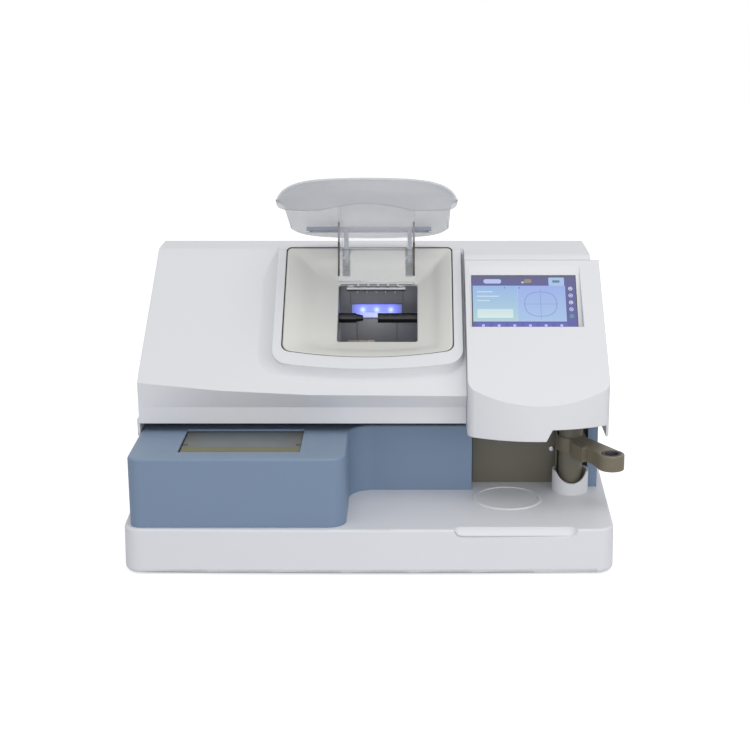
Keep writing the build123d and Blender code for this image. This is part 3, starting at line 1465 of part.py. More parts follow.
with BuildPart() as power_supply:
    with Locations((215, at(305), chassis_top)):
        Box(110, 150, 42, align=(Align.CENTER, Align.CENTER, Align.MIN))
    with BuildSketch(level(chassis_top + 42)):
        with Locations((215, at(305))):
            with GridLocations(12, 0, 7, 1):
                SlotOverall(90, 4, rotation=90)
    extrude(amount=-1.5, mode=Mode.SUBTRACT)
save(power_supply.part, "power_supply")

with BuildPart() as control_board:
    with BuildSketch(level(chassis_top + 6)):
        with Locations((-205, at(310))):
            RectangleRounded(130, 160, 3)
    extrude(amount=1.6)
    with BuildSketch(level(chassis_top)):
        with Locations((-205, at(310))):
            with GridLocations(118, 148, 2, 2):
                Circle(3)
    extrude(amount=6)
    with BuildSketch(level(chassis_top + 7.6)):
        with Locations((-205, at(335)), (-230, at(280)), (-180, at(280))):
            Rectangle(22, 22)
        with Locations((-150, at(310))):
            Rectangle(8, 120)
    extrude(amount=5)
save(control_board.part, "control_board")

with BuildPart() as case_screws:
    with BuildSketch(level(base_bottom + 1)):
        with Locations(*[(x, at(d)) for x in (-180, 0, 180) for d in (30, base_depth - 30)]):
            Circle(screw_radius)
    extrude(amount=-1.6)
    with BuildSketch(front(housing_rear)):
        with Locations(*[(x, lip_z + dz) for x in (-280, -90, 90, 280) for dz in (18, 130)]):
            Circle(screw_radius)
    extrude(amount=-2)
    with BuildSketch(front(niche_depth - fit - 3)):
        with Locations((253.5, base_top + 50), (263.5, base_top + 50)):
            Circle(screw_radius)
    extrude(amount=2)
save(case_screws.part, "case_screws")
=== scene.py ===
# %% [markdown]
# # A bench-top lens edger
# The machine traces a spectacle frame, blocks an uncut lens and grinds its edge to shape. Its solids come
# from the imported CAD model. This lesson dresses them: it sets the camera and the light, writes one material
# for each finish, and adds the thin, curved and glowing pieces that a CAD model has no use for.

# %% Load the frame
import math

import bpy
import numpy as np
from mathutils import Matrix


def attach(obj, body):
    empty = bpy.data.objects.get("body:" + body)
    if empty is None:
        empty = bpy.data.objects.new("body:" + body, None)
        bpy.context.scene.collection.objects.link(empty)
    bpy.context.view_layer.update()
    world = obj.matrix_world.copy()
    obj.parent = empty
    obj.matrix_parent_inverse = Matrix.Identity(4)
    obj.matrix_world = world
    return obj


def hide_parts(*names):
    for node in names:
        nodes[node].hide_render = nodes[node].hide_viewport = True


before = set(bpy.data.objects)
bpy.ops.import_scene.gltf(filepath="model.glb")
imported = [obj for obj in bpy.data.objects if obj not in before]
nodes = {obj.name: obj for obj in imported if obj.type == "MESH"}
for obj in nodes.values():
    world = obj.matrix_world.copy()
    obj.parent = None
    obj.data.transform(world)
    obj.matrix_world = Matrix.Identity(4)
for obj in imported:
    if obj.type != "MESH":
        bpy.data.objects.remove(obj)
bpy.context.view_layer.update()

# %% [markdown]
# ## Camera
# The photograph was taken from in front, a little to the right of the middle and from above, through a long
# lens. A long lens keeps upright edges nearly parallel. The picture is cut off-centre from what the lens
# drew, so the camera has a small sideways shift instead of a turn.

# %% Camera
camera_data = bpy.data.cameras.new("camera")
camera_data.sensor_width = 36.0
camera_data.lens = 74.4
camera_data.shift_x = -0.0467
camera = bpy.data.objects.new("camera", camera_data)
camera.location = (0.05397, -2.11385, 0.7918)
camera.rotation_euler = (math.radians(90 - 15.333), 0.0, 0.0)
bpy.context.scene.collection.objects.link(camera)
bpy.context.scene.camera = camera
print("camera: a lens of", round(camera_data.lens, 1), "mm,", round(-camera.location[1], 2), "m in front")

# %% [markdown]
# ## Light and floor
# Product photographs of pale plastic are lit by wide, soft lamps, so that the edges turn gently and nothing
# shines hard. Wide lamps hang above and stand in front and to the right, a weak one stands to the left, and
# the world fills the rest. A small lamp under the chamber's ceiling stands for the work light inside. Seen
# straight on, through glass or in a reflection, the world is white, and the floor keeps the machine's shadow.

# %% Helper for Math nodes


def math_node(tree, operation, a, b=None, clamp=False):
    """One Math node. a and b are sockets or plain numbers."""
    node = tree.nodes.new("ShaderNodeMath")
    node.operation = operation
    node.use_clamp = clamp
    for slot, value in ((0, a), (1, b)):
        if value is None:
            continue
        if isinstance(value, (int, float)):
            node.inputs[slot].default_value = value
        else:
            tree.links.new(value, node.inputs[slot])
    return node.outputs[0]


# %% World
COOL_WHITE = (0.97, 0.98, 1.0)
WORLD_FILL = 0.56
world = bpy.data.worlds.new("studio")
bpy.context.scene.world = world
world.use_nodes = True
tree = world.node_tree
tree.nodes.clear()
path = tree.nodes.new("ShaderNodeLightPath")
shown = math_node(tree, "MAXIMUM", path.outputs["Is Camera Ray"], path.outputs["Is Transmission Ray"])
shown = math_node(tree, "MAXIMUM", shown, path.outputs["Is Glossy Ray"])
fill = tree.nodes.new("ShaderNodeBackground")
fill.inputs["Color"].default_value = COOL_WHITE + (1.0,)
fill.inputs["Strength"].default_value = WORLD_FILL
white = tree.nodes.new("ShaderNodeBackground")
white.inputs["Color"].default_value = (1.0, 1.0, 1.0, 1.0)
white.inputs["Strength"].default_value = 1.0
mix = tree.nodes.new("ShaderNodeMixShader")
out = tree.nodes.new("ShaderNodeOutputWorld")
tree.links.new(shown, mix.inputs["Fac"])
tree.links.new(fill.outputs[0], mix.inputs[1])
tree.links.new(white.outputs[0], mix.inputs[2])
tree.links.new(mix.outputs[0], out.inputs["Surface"])

# %% Lamps
MOUTH_X = 0.0085          # middle of the chamber's mouth


def lamp(name, place, target, size, watts, colour=(1.0, 1.0, 1.0)):
    """A square area lamp at place, turned to face target."""
    data = bpy.data.lights.new(name, "AREA")
    data.shape = "SQUARE"
    data.size = size
    data.energy = watts
    data.color = colour
    thing = bpy.data.objects.new(name, data)
    direction = np.array(target, float) - np.array(place, float)
    flat = math.hypot(direction[0], direction[1])
    thing.rotation_euler = (math.pi / 2 + math.atan2(direction[2], flat), 0.0,
                            math.atan2(direction[1], direction[0]) - math.pi / 2)
    thing.location = place
    bpy.context.scene.collection.objects.link(thing)
    return thing


lamp("lamp_above", (0.25, -0.75, 2.1), (0.0, 0.0, 0.15), size=1.6, watts=12.0)
lamp("lamp_left", (-1.9, -1.5, 1.1), (0.0, 0.0, 0.2), size=1.0, watts=2.0, colour=COOL_WHITE)
lamp("lamp_right", (1.7, -1.9, 0.9), (0.0, 0.0, 0.2), size=1.2, watts=9.0)
lamp("lamp_front", (0.1, -2.6, 0.7), (0.0, 0.0, 0.2), size=1.6, watts=10.0)
work_light = lamp("lamp_chamber", (MOUTH_X, 0.072, 0.298), (MOUTH_X, 0.0, 0.19), size=0.05, watts=0.05)
work_light.visible_camera = False
work_light.visible_glossy = False

# %% Floor
FLOOR_HALF = 6.0
FLOOR_GLOW = 0.62          # the camera alone sees this much light more
floor_mesh = bpy.data.meshes.new("floor")
floor_mesh.from_pydata([(-FLOOR_HALF, -FLOOR_HALF, 0), (FLOOR_HALF, -FLOOR_HALF, 0),
                        (FLOOR_HALF, FLOOR_HALF, 0), (-FLOOR_HALF, FLOOR_HALF, 0)], [], [(0, 1, 2, 3)])
floor = bpy.data.objects.new("floor", floor_mesh)
bpy.context.scene.collection.objects.link(floor)
floor_paper = bpy.data.materials.new("floor_paper")
floor_paper.use_nodes = True
tree = floor_paper.node_tree
tree.nodes.clear()
path = tree.nodes.new("ShaderNodeLightPath")
paper = tree.nodes.new("ShaderNodeBsdfDiffuse")
paper.inputs["Color"].default_value = (0.80, 0.80, 0.81, 1.0)
glow = tree.nodes.new("ShaderNodeEmission")
glow.inputs["Strength"].default_value = FLOOR_GLOW
both = tree.nodes.new("ShaderNodeAddShader")
mix = tree.nodes.new("ShaderNodeMixShader")
out = tree.nodes.new("ShaderNodeOutputMaterial")
tree.links.new(paper.outputs[0], both.inputs[0])
tree.links.new(glow.outputs[0], both.inputs[1])
tree.links.new(path.outputs["Is Camera Ray"], mix.inputs["Fac"])
tree.links.new(paper.outputs[0], mix.inputs[1])
tree.links.new(both.outputs[0], mix.inputs[2])
tree.links.new(mix.outputs[0], out.inputs["Surface"])
floor_mesh.materials.append(floor_paper)
bpy.context.scene.view_settings.view_transform = "Standard"

# %% [markdown]
# ## Effects that the finishes share
# Moulded plastic is never one flat colour: the mould leaves a fine grain, the tone drifts a little over a
# large wall, and dust settles on faces that look up. Each effect is a node group with named inputs, built
# once, and every finish places it with its own numbers.

# %% Small helpers for node groups


def new_group(name, inputs, outputs):
    """An empty shader node group with named float, colour or vector sockets."""
    kinds = {"float": "NodeSocketFloat", "colour": "NodeSocketColor", "vector": "NodeSocketVector"}
    group = bpy.data.node_groups.new(name, "ShaderNodeTree")
    for label, kind, value in inputs:
        socket = group.interface.new_socket(label, in_out="INPUT", socket_type=kinds[kind])
        if value is not None:
            socket.default_value = value
    for label, kind in outputs:
        group.interface.new_socket(label, in_out="OUTPUT", socket_type=kinds[kind])
    return group, group.nodes.new("NodeGroupInput"), group.nodes.new("NodeGroupOutput")


def colour_mix(tree, factor, a, b):
    """Mixes two colours. Each is a socket or four numbers."""
    node = tree.nodes.new("ShaderNodeMix")
    node.data_type = "RGBA"
    for label, value in (("Factor", factor), ("A", a), ("B", b)):
        socket = [s for s in node.inputs if s.name == label and s.enabled][0]
        if isinstance(value, (int, float, tuple)):
            socket.default_value = value
        else:
            tree.links.new(value, socket)
    return [s for s in node.outputs if s.enabled][0]


# %% Mould grain: a fine, even roughness of the surface
grain_group, g_in, g_out = new_group(
    "mould_grain",
    [("Vector", "vector", None), ("Scale", "float", 900.0)],
    [("Height", "float"), ("Tone", "float")])
fine = grain_group.nodes.new("ShaderNodeTexNoise")
fine.inputs["Detail"].default_value = 3.0
cell = grain_group.nodes.new("ShaderNodeTexVoronoi")
grain_group.links.new(g_in.outputs["Vector"], fine.inputs["Vector"])
grain_group.links.new(g_in.outputs["Vector"], cell.inputs["Vector"])
grain_group.links.new(g_in.outputs["Scale"], fine.inputs["Scale"])
coarse = math_node(grain_group, "MULTIPLY", g_in.outputs["Scale"], 0.6)
grain_group.links.new(coarse, cell.inputs["Scale"])
height = math_node(grain_group, "ADD", fine.outputs["Fac"], cell.outputs["Distance"])
grain_group.links.new(height, g_out.inputs["Height"])
grain_group.links.new(fine.outputs["Fac"], g_out.inputs["Tone"])

# %% Tone drift: a large wall is a shade lighter here and darker there
drift_group, g_in, g_out = new_group(
    "tone_drift",
    [("Vector", "vector", None), ("Colour", "colour", (0.8, 0.8, 0.8, 1.0)), ("Amount", "float", 0.05),
     ("Scale", "float", 6.0)],
    [("Colour", "colour"), ("Mask", "float")])
cloud = drift_group.nodes.new("ShaderNodeTexNoise")
cloud.inputs["Detail"].default_value = 4.0
cloud.inputs["Roughness"].default_value = 0.6
drift_group.links.new(g_in.outputs["Vector"], cloud.inputs["Vector"])
drift_group.links.new(g_in.outputs["Scale"], cloud.inputs["Scale"])
swing = math_node(drift_group, "SUBTRACT", cloud.outputs["Fac"], 0.5)
swing = math_node(drift_group, "MULTIPLY", swing, g_in.outputs["Amount"])
gain = math_node(drift_group, "ADD", swing, 1.0)
scaled = drift_group.nodes.new("ShaderNodeVectorMath")
scaled.operation = "SCALE"
drift_group.links.new(g_in.outputs["Colour"], scaled.inputs[0])
drift_group.links.new(gain, scaled.inputs["Scale"])
drift_group.links.new(scaled.outputs[0], g_out.inputs["Colour"])
drift_group.links.new(cloud.outputs["Fac"], g_out.inputs["Mask"])

# %% Dust: a thin pale film on faces that look up
dust_group, g_in, g_out = new_group(
    "dust_film",
    [("Vector", "vector", None), ("Colour", "colour", (0.8, 0.8, 0.8, 1.0)), ("Amount", "float", 0.1)],
    [("Colour", "colour"), ("Mask", "float")])
shape = dust_group.nodes.new("ShaderNodeNewGeometry")
split = dust_group.nodes.new("ShaderNodeSeparateXYZ")
dust_group.links.new(shape.outputs["Normal"], split.inputs[0])
facing = math_node(dust_group, "MAXIMUM", split.outputs["Z"], 0.0)
facing = math_node(dust_group, "POWER", facing, 3.0)
specks = dust_group.nodes.new("ShaderNodeTexNoise")
specks.inputs["Scale"].default_value = 60.0
specks.inputs["Detail"].default_value = 6.0
dust_group.links.new(g_in.outputs["Vector"], specks.inputs["Vector"])
film = math_node(dust_group, "MULTIPLY", facing, specks.outputs["Fac"])
film = math_node(dust_group, "MULTIPLY", film, g_in.outputs["Amount"], clamp=True)
dusty = colour_mix(dust_group, film, g_in.outputs["Colour"], (0.75, 0.74, 0.72, 1.0))
dust_group.links.new(dusty, g_out.inputs["Colour"])
dust_group.links.new(film, g_out.inputs["Mask"])

# %% Soft edge: a moulded part has no knife edges, so the normal turns over a small radius
edge_group, g_in, g_out = new_group(
    "soft_edge", [("Height", "float", 0.0), ("Depth", "float", 0.1)], [("Normal", "vector")])
round_over = edge_group.nodes.new("ShaderNodeBevel")
round_over.samples = 6
round_over.inputs["Radius"].default_value = 0.0012
bump = edge_group.nodes.new("ShaderNodeBump")
bump.inputs["Distance"].default_value = 0.0002
edge_group.links.new(g_in.outputs["Height"], bump.inputs["Height"])
edge_group.links.new(g_in.outputs["Depth"], bump.inputs["Strength"])
edge_group.links.new(round_over.outputs[0], bump.inputs["Normal"])
edge_group.links.new(bump.outputs[0], g_out.inputs["Normal"])

# %% Brushed lines: long fine scratches along one axis
brush_group, g_in, g_out = new_group(
    "brushed_lines", [("Vector", "vector", None), ("Scale", "float", 400.0)], [("Height", "float")])
streak = brush_group.nodes.new("ShaderNodeTexNoise")
streak.inputs["Detail"].default_value = 5.0
brush_group.links.new(g_in.outputs["Vector"], streak.inputs["Vector"])
brush_group.links.new(g_in.outputs["Scale"], streak.inputs["Scale"])
brush_group.links.new(streak.outputs["Fac"], g_out.inputs["Height"])
print("effects:", [group.name for group in bpy.data.node_groups])

# %% [markdown]
# ## Finishes
# Each kind of finish is one function that lays the shared effects over a Principled shader. Colours are
# written as they look on a screen and turned into the linear values that the shader works in.

# %% Colour and node helpers


def linear(colour):
    """Screen colour, 0 to 255, to linear light: the sRGB curve, with its straight foot."""
    value = np.array(colour, float) / 255.0
    lit = np.where(value <= 0.04045, value / 12.92, ((value + 0.055) / 1.055) ** 2.4)
    return (float(lit[0]), float(lit[1]), float(lit[2]), 1.0)


finish = {}          # every material by its name


def new_finish(name):
    """A material with an object-space coordinate and a Principled shader, kept in finish."""
    finish[name] = bpy.data.materials.new(name)
    finish[name].use_nodes = True
    tree = finish[name].node_tree
    tree.nodes.clear()
    place = tree.nodes.new("ShaderNodeTexCoord")
    shader = tree.nodes.new("ShaderNodeBsdfPrincipled")
    out = tree.nodes.new("ShaderNodeOutputMaterial")
    tree.links.new(shader.outputs[0], out.inputs["Surface"])
    return tree, place.outputs["Object"], shader


def use_group(tree, group, **values):
    """Places a node group and fills its inputs with numbers, colours or sockets."""
    node = tree.nodes.new("ShaderNodeGroup")
    node.node_tree = group
    for label, value in values.items():
        if isinstance(value, bpy.types.NodeSocket):
            tree.links.new(value, node.inputs[label])
        else:
            node.inputs[label].default_value = value
    return node


# %% Moulded plastic
PLASTIC_SWING = 0.12          # how much the grain changes the roughness from place to place


def moulded(name, colour, rough, grain=900.0, depth=0.12, drift=0.05, dust=0.06, coat=0.0):
    """Moulded plastic: drifting tone, a film of dust, mould grain and softened edges."""
    tree, where, shader = new_finish(name)
    tone = use_group(tree, drift_group, Vector=where, Colour=linear(colour), Amount=drift)
    film = use_group(tree, dust_group, Vector=where, Colour=tone.outputs["Colour"], Amount=dust)
    skin = use_group(tree, grain_group, Vector=where, Scale=grain)
    turned = use_group(tree, edge_group, Height=skin.outputs["Height"], Depth=depth)
    spread = math_node(tree, "MULTIPLY", skin.outputs["Tone"], PLASTIC_SWING)
    worn = math_node(tree, "ADD", spread, rough - PLASTIC_SWING / 2)
    worn = math_node(tree, "ADD", worn, film.outputs["Mask"], clamp=True)
    tree.links.new(film.outputs["Colour"], shader.inputs["Base Color"])
    tree.links.new(worn, shader.inputs["Roughness"])
    tree.links.new(turned.outputs["Normal"], shader.inputs["Normal"])
    shader.inputs["Coat Weight"].default_value = coat
    shader.inputs["Coat Roughness"].default_value = 0.25


# %% Metal
METAL_SWING = 0.3          # how much the brushed lines change the roughness
BRUSH_SCALE = 60.0


def metal(name, colour, rough, stretch=(1.0, 40.0, 40.0), depth=0.1, drift=0.12, share=1.0):
    """Brushed or turned metal: lines drawn along the axis that is stretched least.

    share is how metallic it looks: a matt, used sheet scatters light much as paint does.
    """
    tree, where, shader = new_finish(name)
    tone = use_group(tree, drift_group, Vector=where, Colour=linear(colour), Amount=drift, Scale=25.0)
    pull = tree.nodes.new("ShaderNodeMapping")
    pull.inputs["Scale"].default_value = stretch
    tree.links.new(where, pull.inputs["Vector"])
    lines = use_group(tree, brush_group, Vector=pull.outputs[0], Scale=BRUSH_SCALE)
    turned = use_group(tree, edge_group, Height=lines.outputs["Height"], Depth=depth)
    spread = math_node(tree, "MULTIPLY", lines.outputs["Height"], METAL_SWING)
    worn = math_node(tree, "ADD", spread, rough - METAL_SWING / 2, clamp=True)
    tree.links.new(tone.outputs["Colour"], shader.inputs["Base Color"])
    tree.links.new(worn, shader.inputs["Roughness"])
    tree.links.new(turned.outputs["Normal"], shader.inputs["Normal"])
    shader.inputs["Metallic"].default_value = share


# %% Clear and smoked sheet
SHEET_HAZE = 0.1          # how much the see-through share changes from place to place


def clear_sheet(name, colour, rough, clear):
    """Clear plastic: clear is the share that Alpha lets through, and faint waves turn the gloss over it."""
    tree, where, shader = new_finish(name)
    tone = use_group(tree, drift_group, Vector=where, Colour=linear(colour), Amount=0.05, Scale=12.0)
    skin = use_group(tree, grain_group, Vector=where, Scale=60.0)
    turned = use_group(tree, edge_group, Height=skin.outputs["Height"], Depth=0.05)
    haze = math_node(tree, "MULTIPLY", tone.outputs["Mask"], SHEET_HAZE)
    solid = math_node(tree, "ADD", haze, 1.0 - SHEET_HAZE / 2 - clear, clamp=True)
    tree.links.new(tone.outputs["Colour"], shader.inputs["Base Color"])
    tree.links.new(solid, shader.inputs["Alpha"])
    tree.links.new(turned.outputs["Normal"], shader.inputs["Normal"])
    shader.inputs["Roughness"].default_value = rough


# %% Clamp plates of the frame tracer
TRACER_X = -0.1705          # middle of the tracer
PLAIN_REACH, FADE_PER_METRE = 0.045, 18.0
DARK_END = (120, 108, 86)


def clamp_plate(name, bare, faced, edge_y, side_tone=0.0):
    """Brushed plate with a strip faced in another colour behind the line Y = edge_y.

    side_tone darkens the ends: share = side_tone x fade x (distance from the tracer's middle - plain reach).
    """
    tree, where, shader = new_finish(name)
    split = tree.nodes.new("ShaderNodeSeparateXYZ")
    tree.links.new(where, split.inputs[0])
    behind = math_node(tree, "GREATER_THAN", split.outputs["Y"], edge_y)
    mixed = colour_mix(tree, behind, linear(bare), linear(faced))
    reach = math_node(tree, "ABSOLUTE", math_node(tree, "SUBTRACT", split.outputs["X"], TRACER_X))
    ends = math_node(tree, "SUBTRACT", reach, PLAIN_REACH)
    ends = math_node(tree, "MULTIPLY", ends, FADE_PER_METRE, clamp=True)
    ends = math_node(tree, "MULTIPLY", ends, side_tone)
    mixed = colour_mix(tree, ends, mixed, linear(DARK_END))
    tone = use_group(tree, drift_group, Vector=where, Colour=mixed, Amount=0.25, Scale=30.0)
    pull = tree.nodes.new("ShaderNodeMapping")
    pull.inputs["Scale"].default_value = (1.0, 40.0, 1.0)
    tree.links.new(where, pull.inputs["Vector"])
    lines = use_group(tree, brush_group, Vector=pull.outputs[0], Scale=BRUSH_SCALE)
    turned = use_group(tree, edge_group, Height=lines.outputs["Height"], Depth=0.15)
    tree.links.new(tone.outputs["Colour"], shader.inputs["Base Color"])
    tree.links.new(turned.outputs["Normal"], shader.inputs["Normal"])
    shader.inputs["Metallic"].default_value = 0.25
    shader.inputs["Roughness"].default_value = 0.42


# %% [markdown]
# ### Lamps behind the chamber's window
# Three small lamps light the grinding chamber from behind a frosted strip. On the strip each lamp is a
# bright spot that fades into blue. The fade is a bell curve, exp(-(distance/spread)^2) of the distance from
# the lamp. A node group works it out, so that the same curve serves all three, and the three are added up.

# %% Glow of one lamp
spot_group, g_in, g_out = new_group(
    "lamp_spot",
    [("Vector", "vector", None), ("Middle", "vector", (0.0, 0.0, 0.0)), ("Spread", "float", 0.006)],
    [("Mask", "float")])
reach = spot_group.nodes.new("ShaderNodeVectorMath")
reach.operation = "DISTANCE"
spot_group.links.new(g_in.outputs["Vector"], reach.inputs[0])
spot_group.links.new(g_in.outputs["Middle"], reach.inputs[1])
ratio = math_node(spot_group, "DIVIDE", reach.outputs["Value"], g_in.outputs["Spread"])
square = math_node(spot_group, "POWER", ratio, 2.0)
bell = math_node(spot_group, "EXPONENT", math_node(spot_group, "MULTIPLY", square, -1.0))
spot_group.links.new(bell, g_out.inputs["Mask"])

# %% The lit strip
UNLIT, HALO_BLUE, HOT_SPOT = (0.02, 0.03, 0.06, 1.0), (0.13, 0.16, 0.95, 1.0), (0.75, 0.95, 1.0, 1.0)
FROSTED = (0.45, 0.50, 0.62, 1.0)


def lit_strip(name, middles, spread, halo):
    """Frosted strip with a glowing spot at each middle and a wider blue halo round it."""
    tree, where, shader = new_finish(name)
    hot, wide = None, None
    for middle in middles:
        near = use_group(tree, spot_group, Vector=where, Middle=middle, Spread=spread).outputs["Mask"]
        far = use_group(tree, spot_group, Vector=where, Middle=middle, Spread=halo).outputs["Mask"]
        hot = near if hot is None else math_node(tree, "ADD", hot, near, clamp=True)
        wide = far if wide is None else math_node(tree, "ADD", wide, far, clamp=True)
    blue = colour_mix(tree, wide, UNLIT, HALO_BLUE)
    lit = colour_mix(tree, hot, blue, HOT_SPOT)
    tree.links.new(lit, shader.inputs["Emission Color"])
    tone = use_group(tree, drift_group, Vector=where, Colour=FROSTED, Amount=0.1)
    tree.links.new(tone.outputs["Colour"], shader.inputs["Base Color"])
    shader.inputs["Emission Strength"].default_value = 1.6
    shader.inputs["Roughness"].default_value = 0.3


# %% [markdown]
# ### The lit picture on the screen
# The touch screen shows a plain user interface: a dark blue header, two pale panes, a column of buttons and a
# bar at the bottom. The picture is made of thin coloured tiles, and one material lights each tile in the
# colour that the mesh's own colour attribute gives it.

# %% Panel that shines in its own colours


def lit_panel(name):
    """Screen glass: the colour attribute "tint" drives the light it gives off, under a gloss coat."""
    tree, where, shader = new_finish(name)
    tint = tree.nodes.new("ShaderNodeVertexColor")
    tint.layer_name = "tint"
    tree.links.new(tint.outputs["Color"], shader.inputs["Emission Color"])
    shader.inputs["Base Color"].default_value = linear((20, 20, 26))
    shader.inputs["Emission Strength"].default_value = 0.88
    shader.inputs["Roughness"].default_value = 0.25
    shader.inputs["Coat Weight"].default_value = 0.5
    shader.inputs["Coat Roughness"].default_value = 0.05


# %% [markdown]
# ## The finishes of this machine
# The housing, base and console are pale grey plastic with a bluish cast. The lower body is slate blue. The
# dish round the grinding chamber is a warmer cream, and the lens blocker is a brown-olive.

# %% Finishes
LED_X, LED_Y, LED_Z, LED_STEP = 0.0055, 0.1, 0.2845, 0.0205
led_middles = [(LED_X + step * LED_STEP, LED_Y, LED_Z) for step in (-1, 0, 1)]
moulded("housing_white", (221, 222, 225), rough=0.40, drift=0.03)
moulded("base_grey", (221, 222, 226), rough=0.44, drift=0.04, dust=0.05)
moulded("body_blue", (118, 138, 163), rough=0.45, drift=0.05, dust=0.10)
moulded("surround_cream", (221, 220, 215), rough=0.40, drift=0.03, dust=0.0)
moulded("bronze", (108, 104, 91), rough=0.42, grain=1400.0, drift=0.08)
moulded("olive", (116, 108, 90), rough=0.42, grain=1200.0, drift=0.08)
clamp_plate("front_plate", (138, 138, 140), (128, 125, 92), edge_y=-0.1735)
clamp_plate("rear_plate", (128, 134, 138), (124, 132, 138), edge_y=-0.1, side_tone=0.7)
lit_strip("lamp_cover", led_middles, spread=0.0034, halo=0.012)
lit_panel("lit_panel")
moulded("stage_white", (226, 226, 229), rough=0.35, drift=0.03)
moulded("stage_window", (222, 225, 228), rough=0.35, drift=0.05, dust=0.0)
moulded("dark_plastic", (34, 34, 37), rough=0.5, grain=1100.0, drift=0.15, dust=0.15)
moulded("seal_black", (30, 30, 32), rough=0.65, grain=700.0, drift=0.15)
moulded("belt_rubber", (24, 24, 25), rough=0.7, grain=500.0, drift=0.2)
moulded("board_green", (34, 82, 54), rough=0.35, drift=0.15)
metal("steel", (168, 170, 174), rough=0.32)
metal("chamber_steel", (150, 152, 158), rough=0.45, stretch=(30.0, 30.0, 1.0), share=0.35)
metal("plate_steel", (142, 144, 150), rough=0.45, stretch=(1.0, 30.0, 30.0), share=0.35)
metal("shaft_black", (58, 58, 60), rough=0.28, depth=0.03, drift=0.05, share=0.8)
# The next two finishes are painted shade: they colour the strips that stand for the clear guard's edges, dark
# against the dish and grey against the hood.
moulded("painted_edge_shade_dark", (92, 90, 86), rough=0.35, drift=0.05, dust=0.0)
moulded("painted_edge_shade_grey", (160, 162, 166), rough=0.3, drift=0.05, dust=0.0)
metal("chrome", (214, 214, 218), rough=0.18, depth=0.03, drift=0.03)
metal("alloy", (178, 180, 184), rough=0.4)
moulded("bracket_blue", (162, 168, 184), rough=0.35, drift=0.06, coat=0.2)
moulded("grindstone", (122, 112, 96), rough=0.8, grain=2600.0, depth=0.5, drift=0.2)
metal("bearing_iron", (92, 92, 95), rough=0.5, drift=0.2)
clear_sheet("hood_smoke", (182, 184, 189), rough=0.22, clear=0.56)
# The guard is clear plastic, and its whitish tint is a painted sheen that makes the pane read lighter than
# the hood.
clear_sheet("guard_clear_painted_sheen", (222, 224, 226), rough=0.06, clear=0.80)
print("finishes:", len(finish))

# %% Which node wears which finish
wears = {
    "housing_white": ["main_housing", "chamber_frame", "console_shell"],
    "base_grey": ["base_tray", "column_cup"],
    "body_blue": ["lower_body"],
    "surround_cream": ["chamber_surround"],
    "bronze": ["blocker_column", "column_guard", "niche_panel"],
    "olive": ["blocker_arm", "release_pad"],
    "front_plate": ["front_jaw"],
    "rear_plate": ["rear_jaw"],
    "stage_white": ["stage_ring"],
    "stage_window": ["stage_glass"],
    "lamp_cover": ["led_window"],
    "dark_plastic": ["display_tray", "block_socket", "tracer_well", "power_inlet", "power_switch",
                     "fan_frame", "cooling_fan", "touch_screen"],
    "seal_black": ["rubber_feet", "chamber_seal"],
    "belt_rubber": ["drive_belt"],
    "board_green": ["control_board"],
    "steel": ["base_plate", "hinge_pin", "hinge_brackets", "spindle", "motor_shaft", "carriage_rail",
              "column_post", "column_collar", "tracer_rails", "tracer_stylus", "rear_panel",
              "power_supply", "spray_bar"],
    "chamber_steel": ["grinding_chamber"],
    "shaft_black": ["left_lens_shaft", "right_lens_shaft", "clamp_quill"],
    "plate_steel": ["splash_plates"],
    "chrome": ["lid_screws", "hose_fittings", "case_screws"],
    "alloy": ["chassis", "carriage_sleeve", "carriage_arms", "tracer_turntable"],
    "bracket_blue": ["lid_bracket"],
    "grindstone": ["grinding_wheels"],
    "bearing_iron": ["spindle_bearings", "spindle_motor"],
    "hood_smoke": ["lid_hood"],
    "guard_clear_painted_sheen": ["lid_guard"],
}
dressed = set()
for name, members in wears.items():
    for member in members:
        mesh = nodes[member].data
        mesh.materials.clear()
        mesh.materials.append(finish[name])
        dressed.add(member)
print("nodes without a finish:", sorted(set(nodes) - dressed))

# %% [markdown]
# ## The screen's picture
# The glass lies in a pocket that leans back by 46 degrees. A point of the picture is given by two fractions:
# u runs from the left edge to the right, v from the top edge down. The plane's direction turns them into
# places in the room.

# %% Plane of the glass
SCREEN_X, SCREEN_WIDE, SCREEN_LONG = 0.213, 0.146, 0.0895
POCKET_Y, POCKET_Z, POCKET_ABOVE = 0.0335, 0.36259, 0.0159
PICTURE_LIFT, LAYER_STEP = 0.00045, 0.00006
TO_RIGHT = np.array([1.0, 0.0, 0.0])
lean = math.radians(46.0)
face_out = np.array([0.0, -math.sin(lean), math.cos(lean)])
face_up = np.array([0.0, math.cos(lean), math.sin(lean)])


def on_screen(u, v, lift):
    """Places on the glass. u and v are arrays of fractions, lift is the height above the pocket's floor."""
    u, v = np.asarray(u, float), np.asarray(v, float)
    corner = np.array([SCREEN_X - SCREEN_WIDE / 2, POCKET_Y, POCKET_Z])
    along = np.multiply.outer(u * SCREEN_WIDE, TO_RIGHT)
    down = np.multiply.outer(-(POCKET_ABOVE + v * SCREEN_LONG), face_up)
    return corner + along + down + face_out * lift


# %% Tiles of the picture


def tile(u0, u1, v0, v1, corner):
    """Outline of a tile with round corners. corner is the radius as a share of the screen's width."""
    wide, tall = corner, corner * SCREEN_WIDE / SCREEN_LONG
    turn = np.linspace(0.0, math.pi / 2, 5)
    parts_u, parts_v = [], []
    for cu, cv, start in ((u1 - wide, v0 + tall, -math.pi / 2), (u1 - wide, v1 - tall, 0.0),
                          (u0 + wide, v1 - tall, math.pi / 2), (u0 + wide, v0 + tall, math.pi)):
        parts_u.append(cu + wide * np.cos(start + turn))
        parts_v.append(cv + tall * np.sin(start + turn))
    return np.concatenate(parts_u), np.concatenate(parts_v)


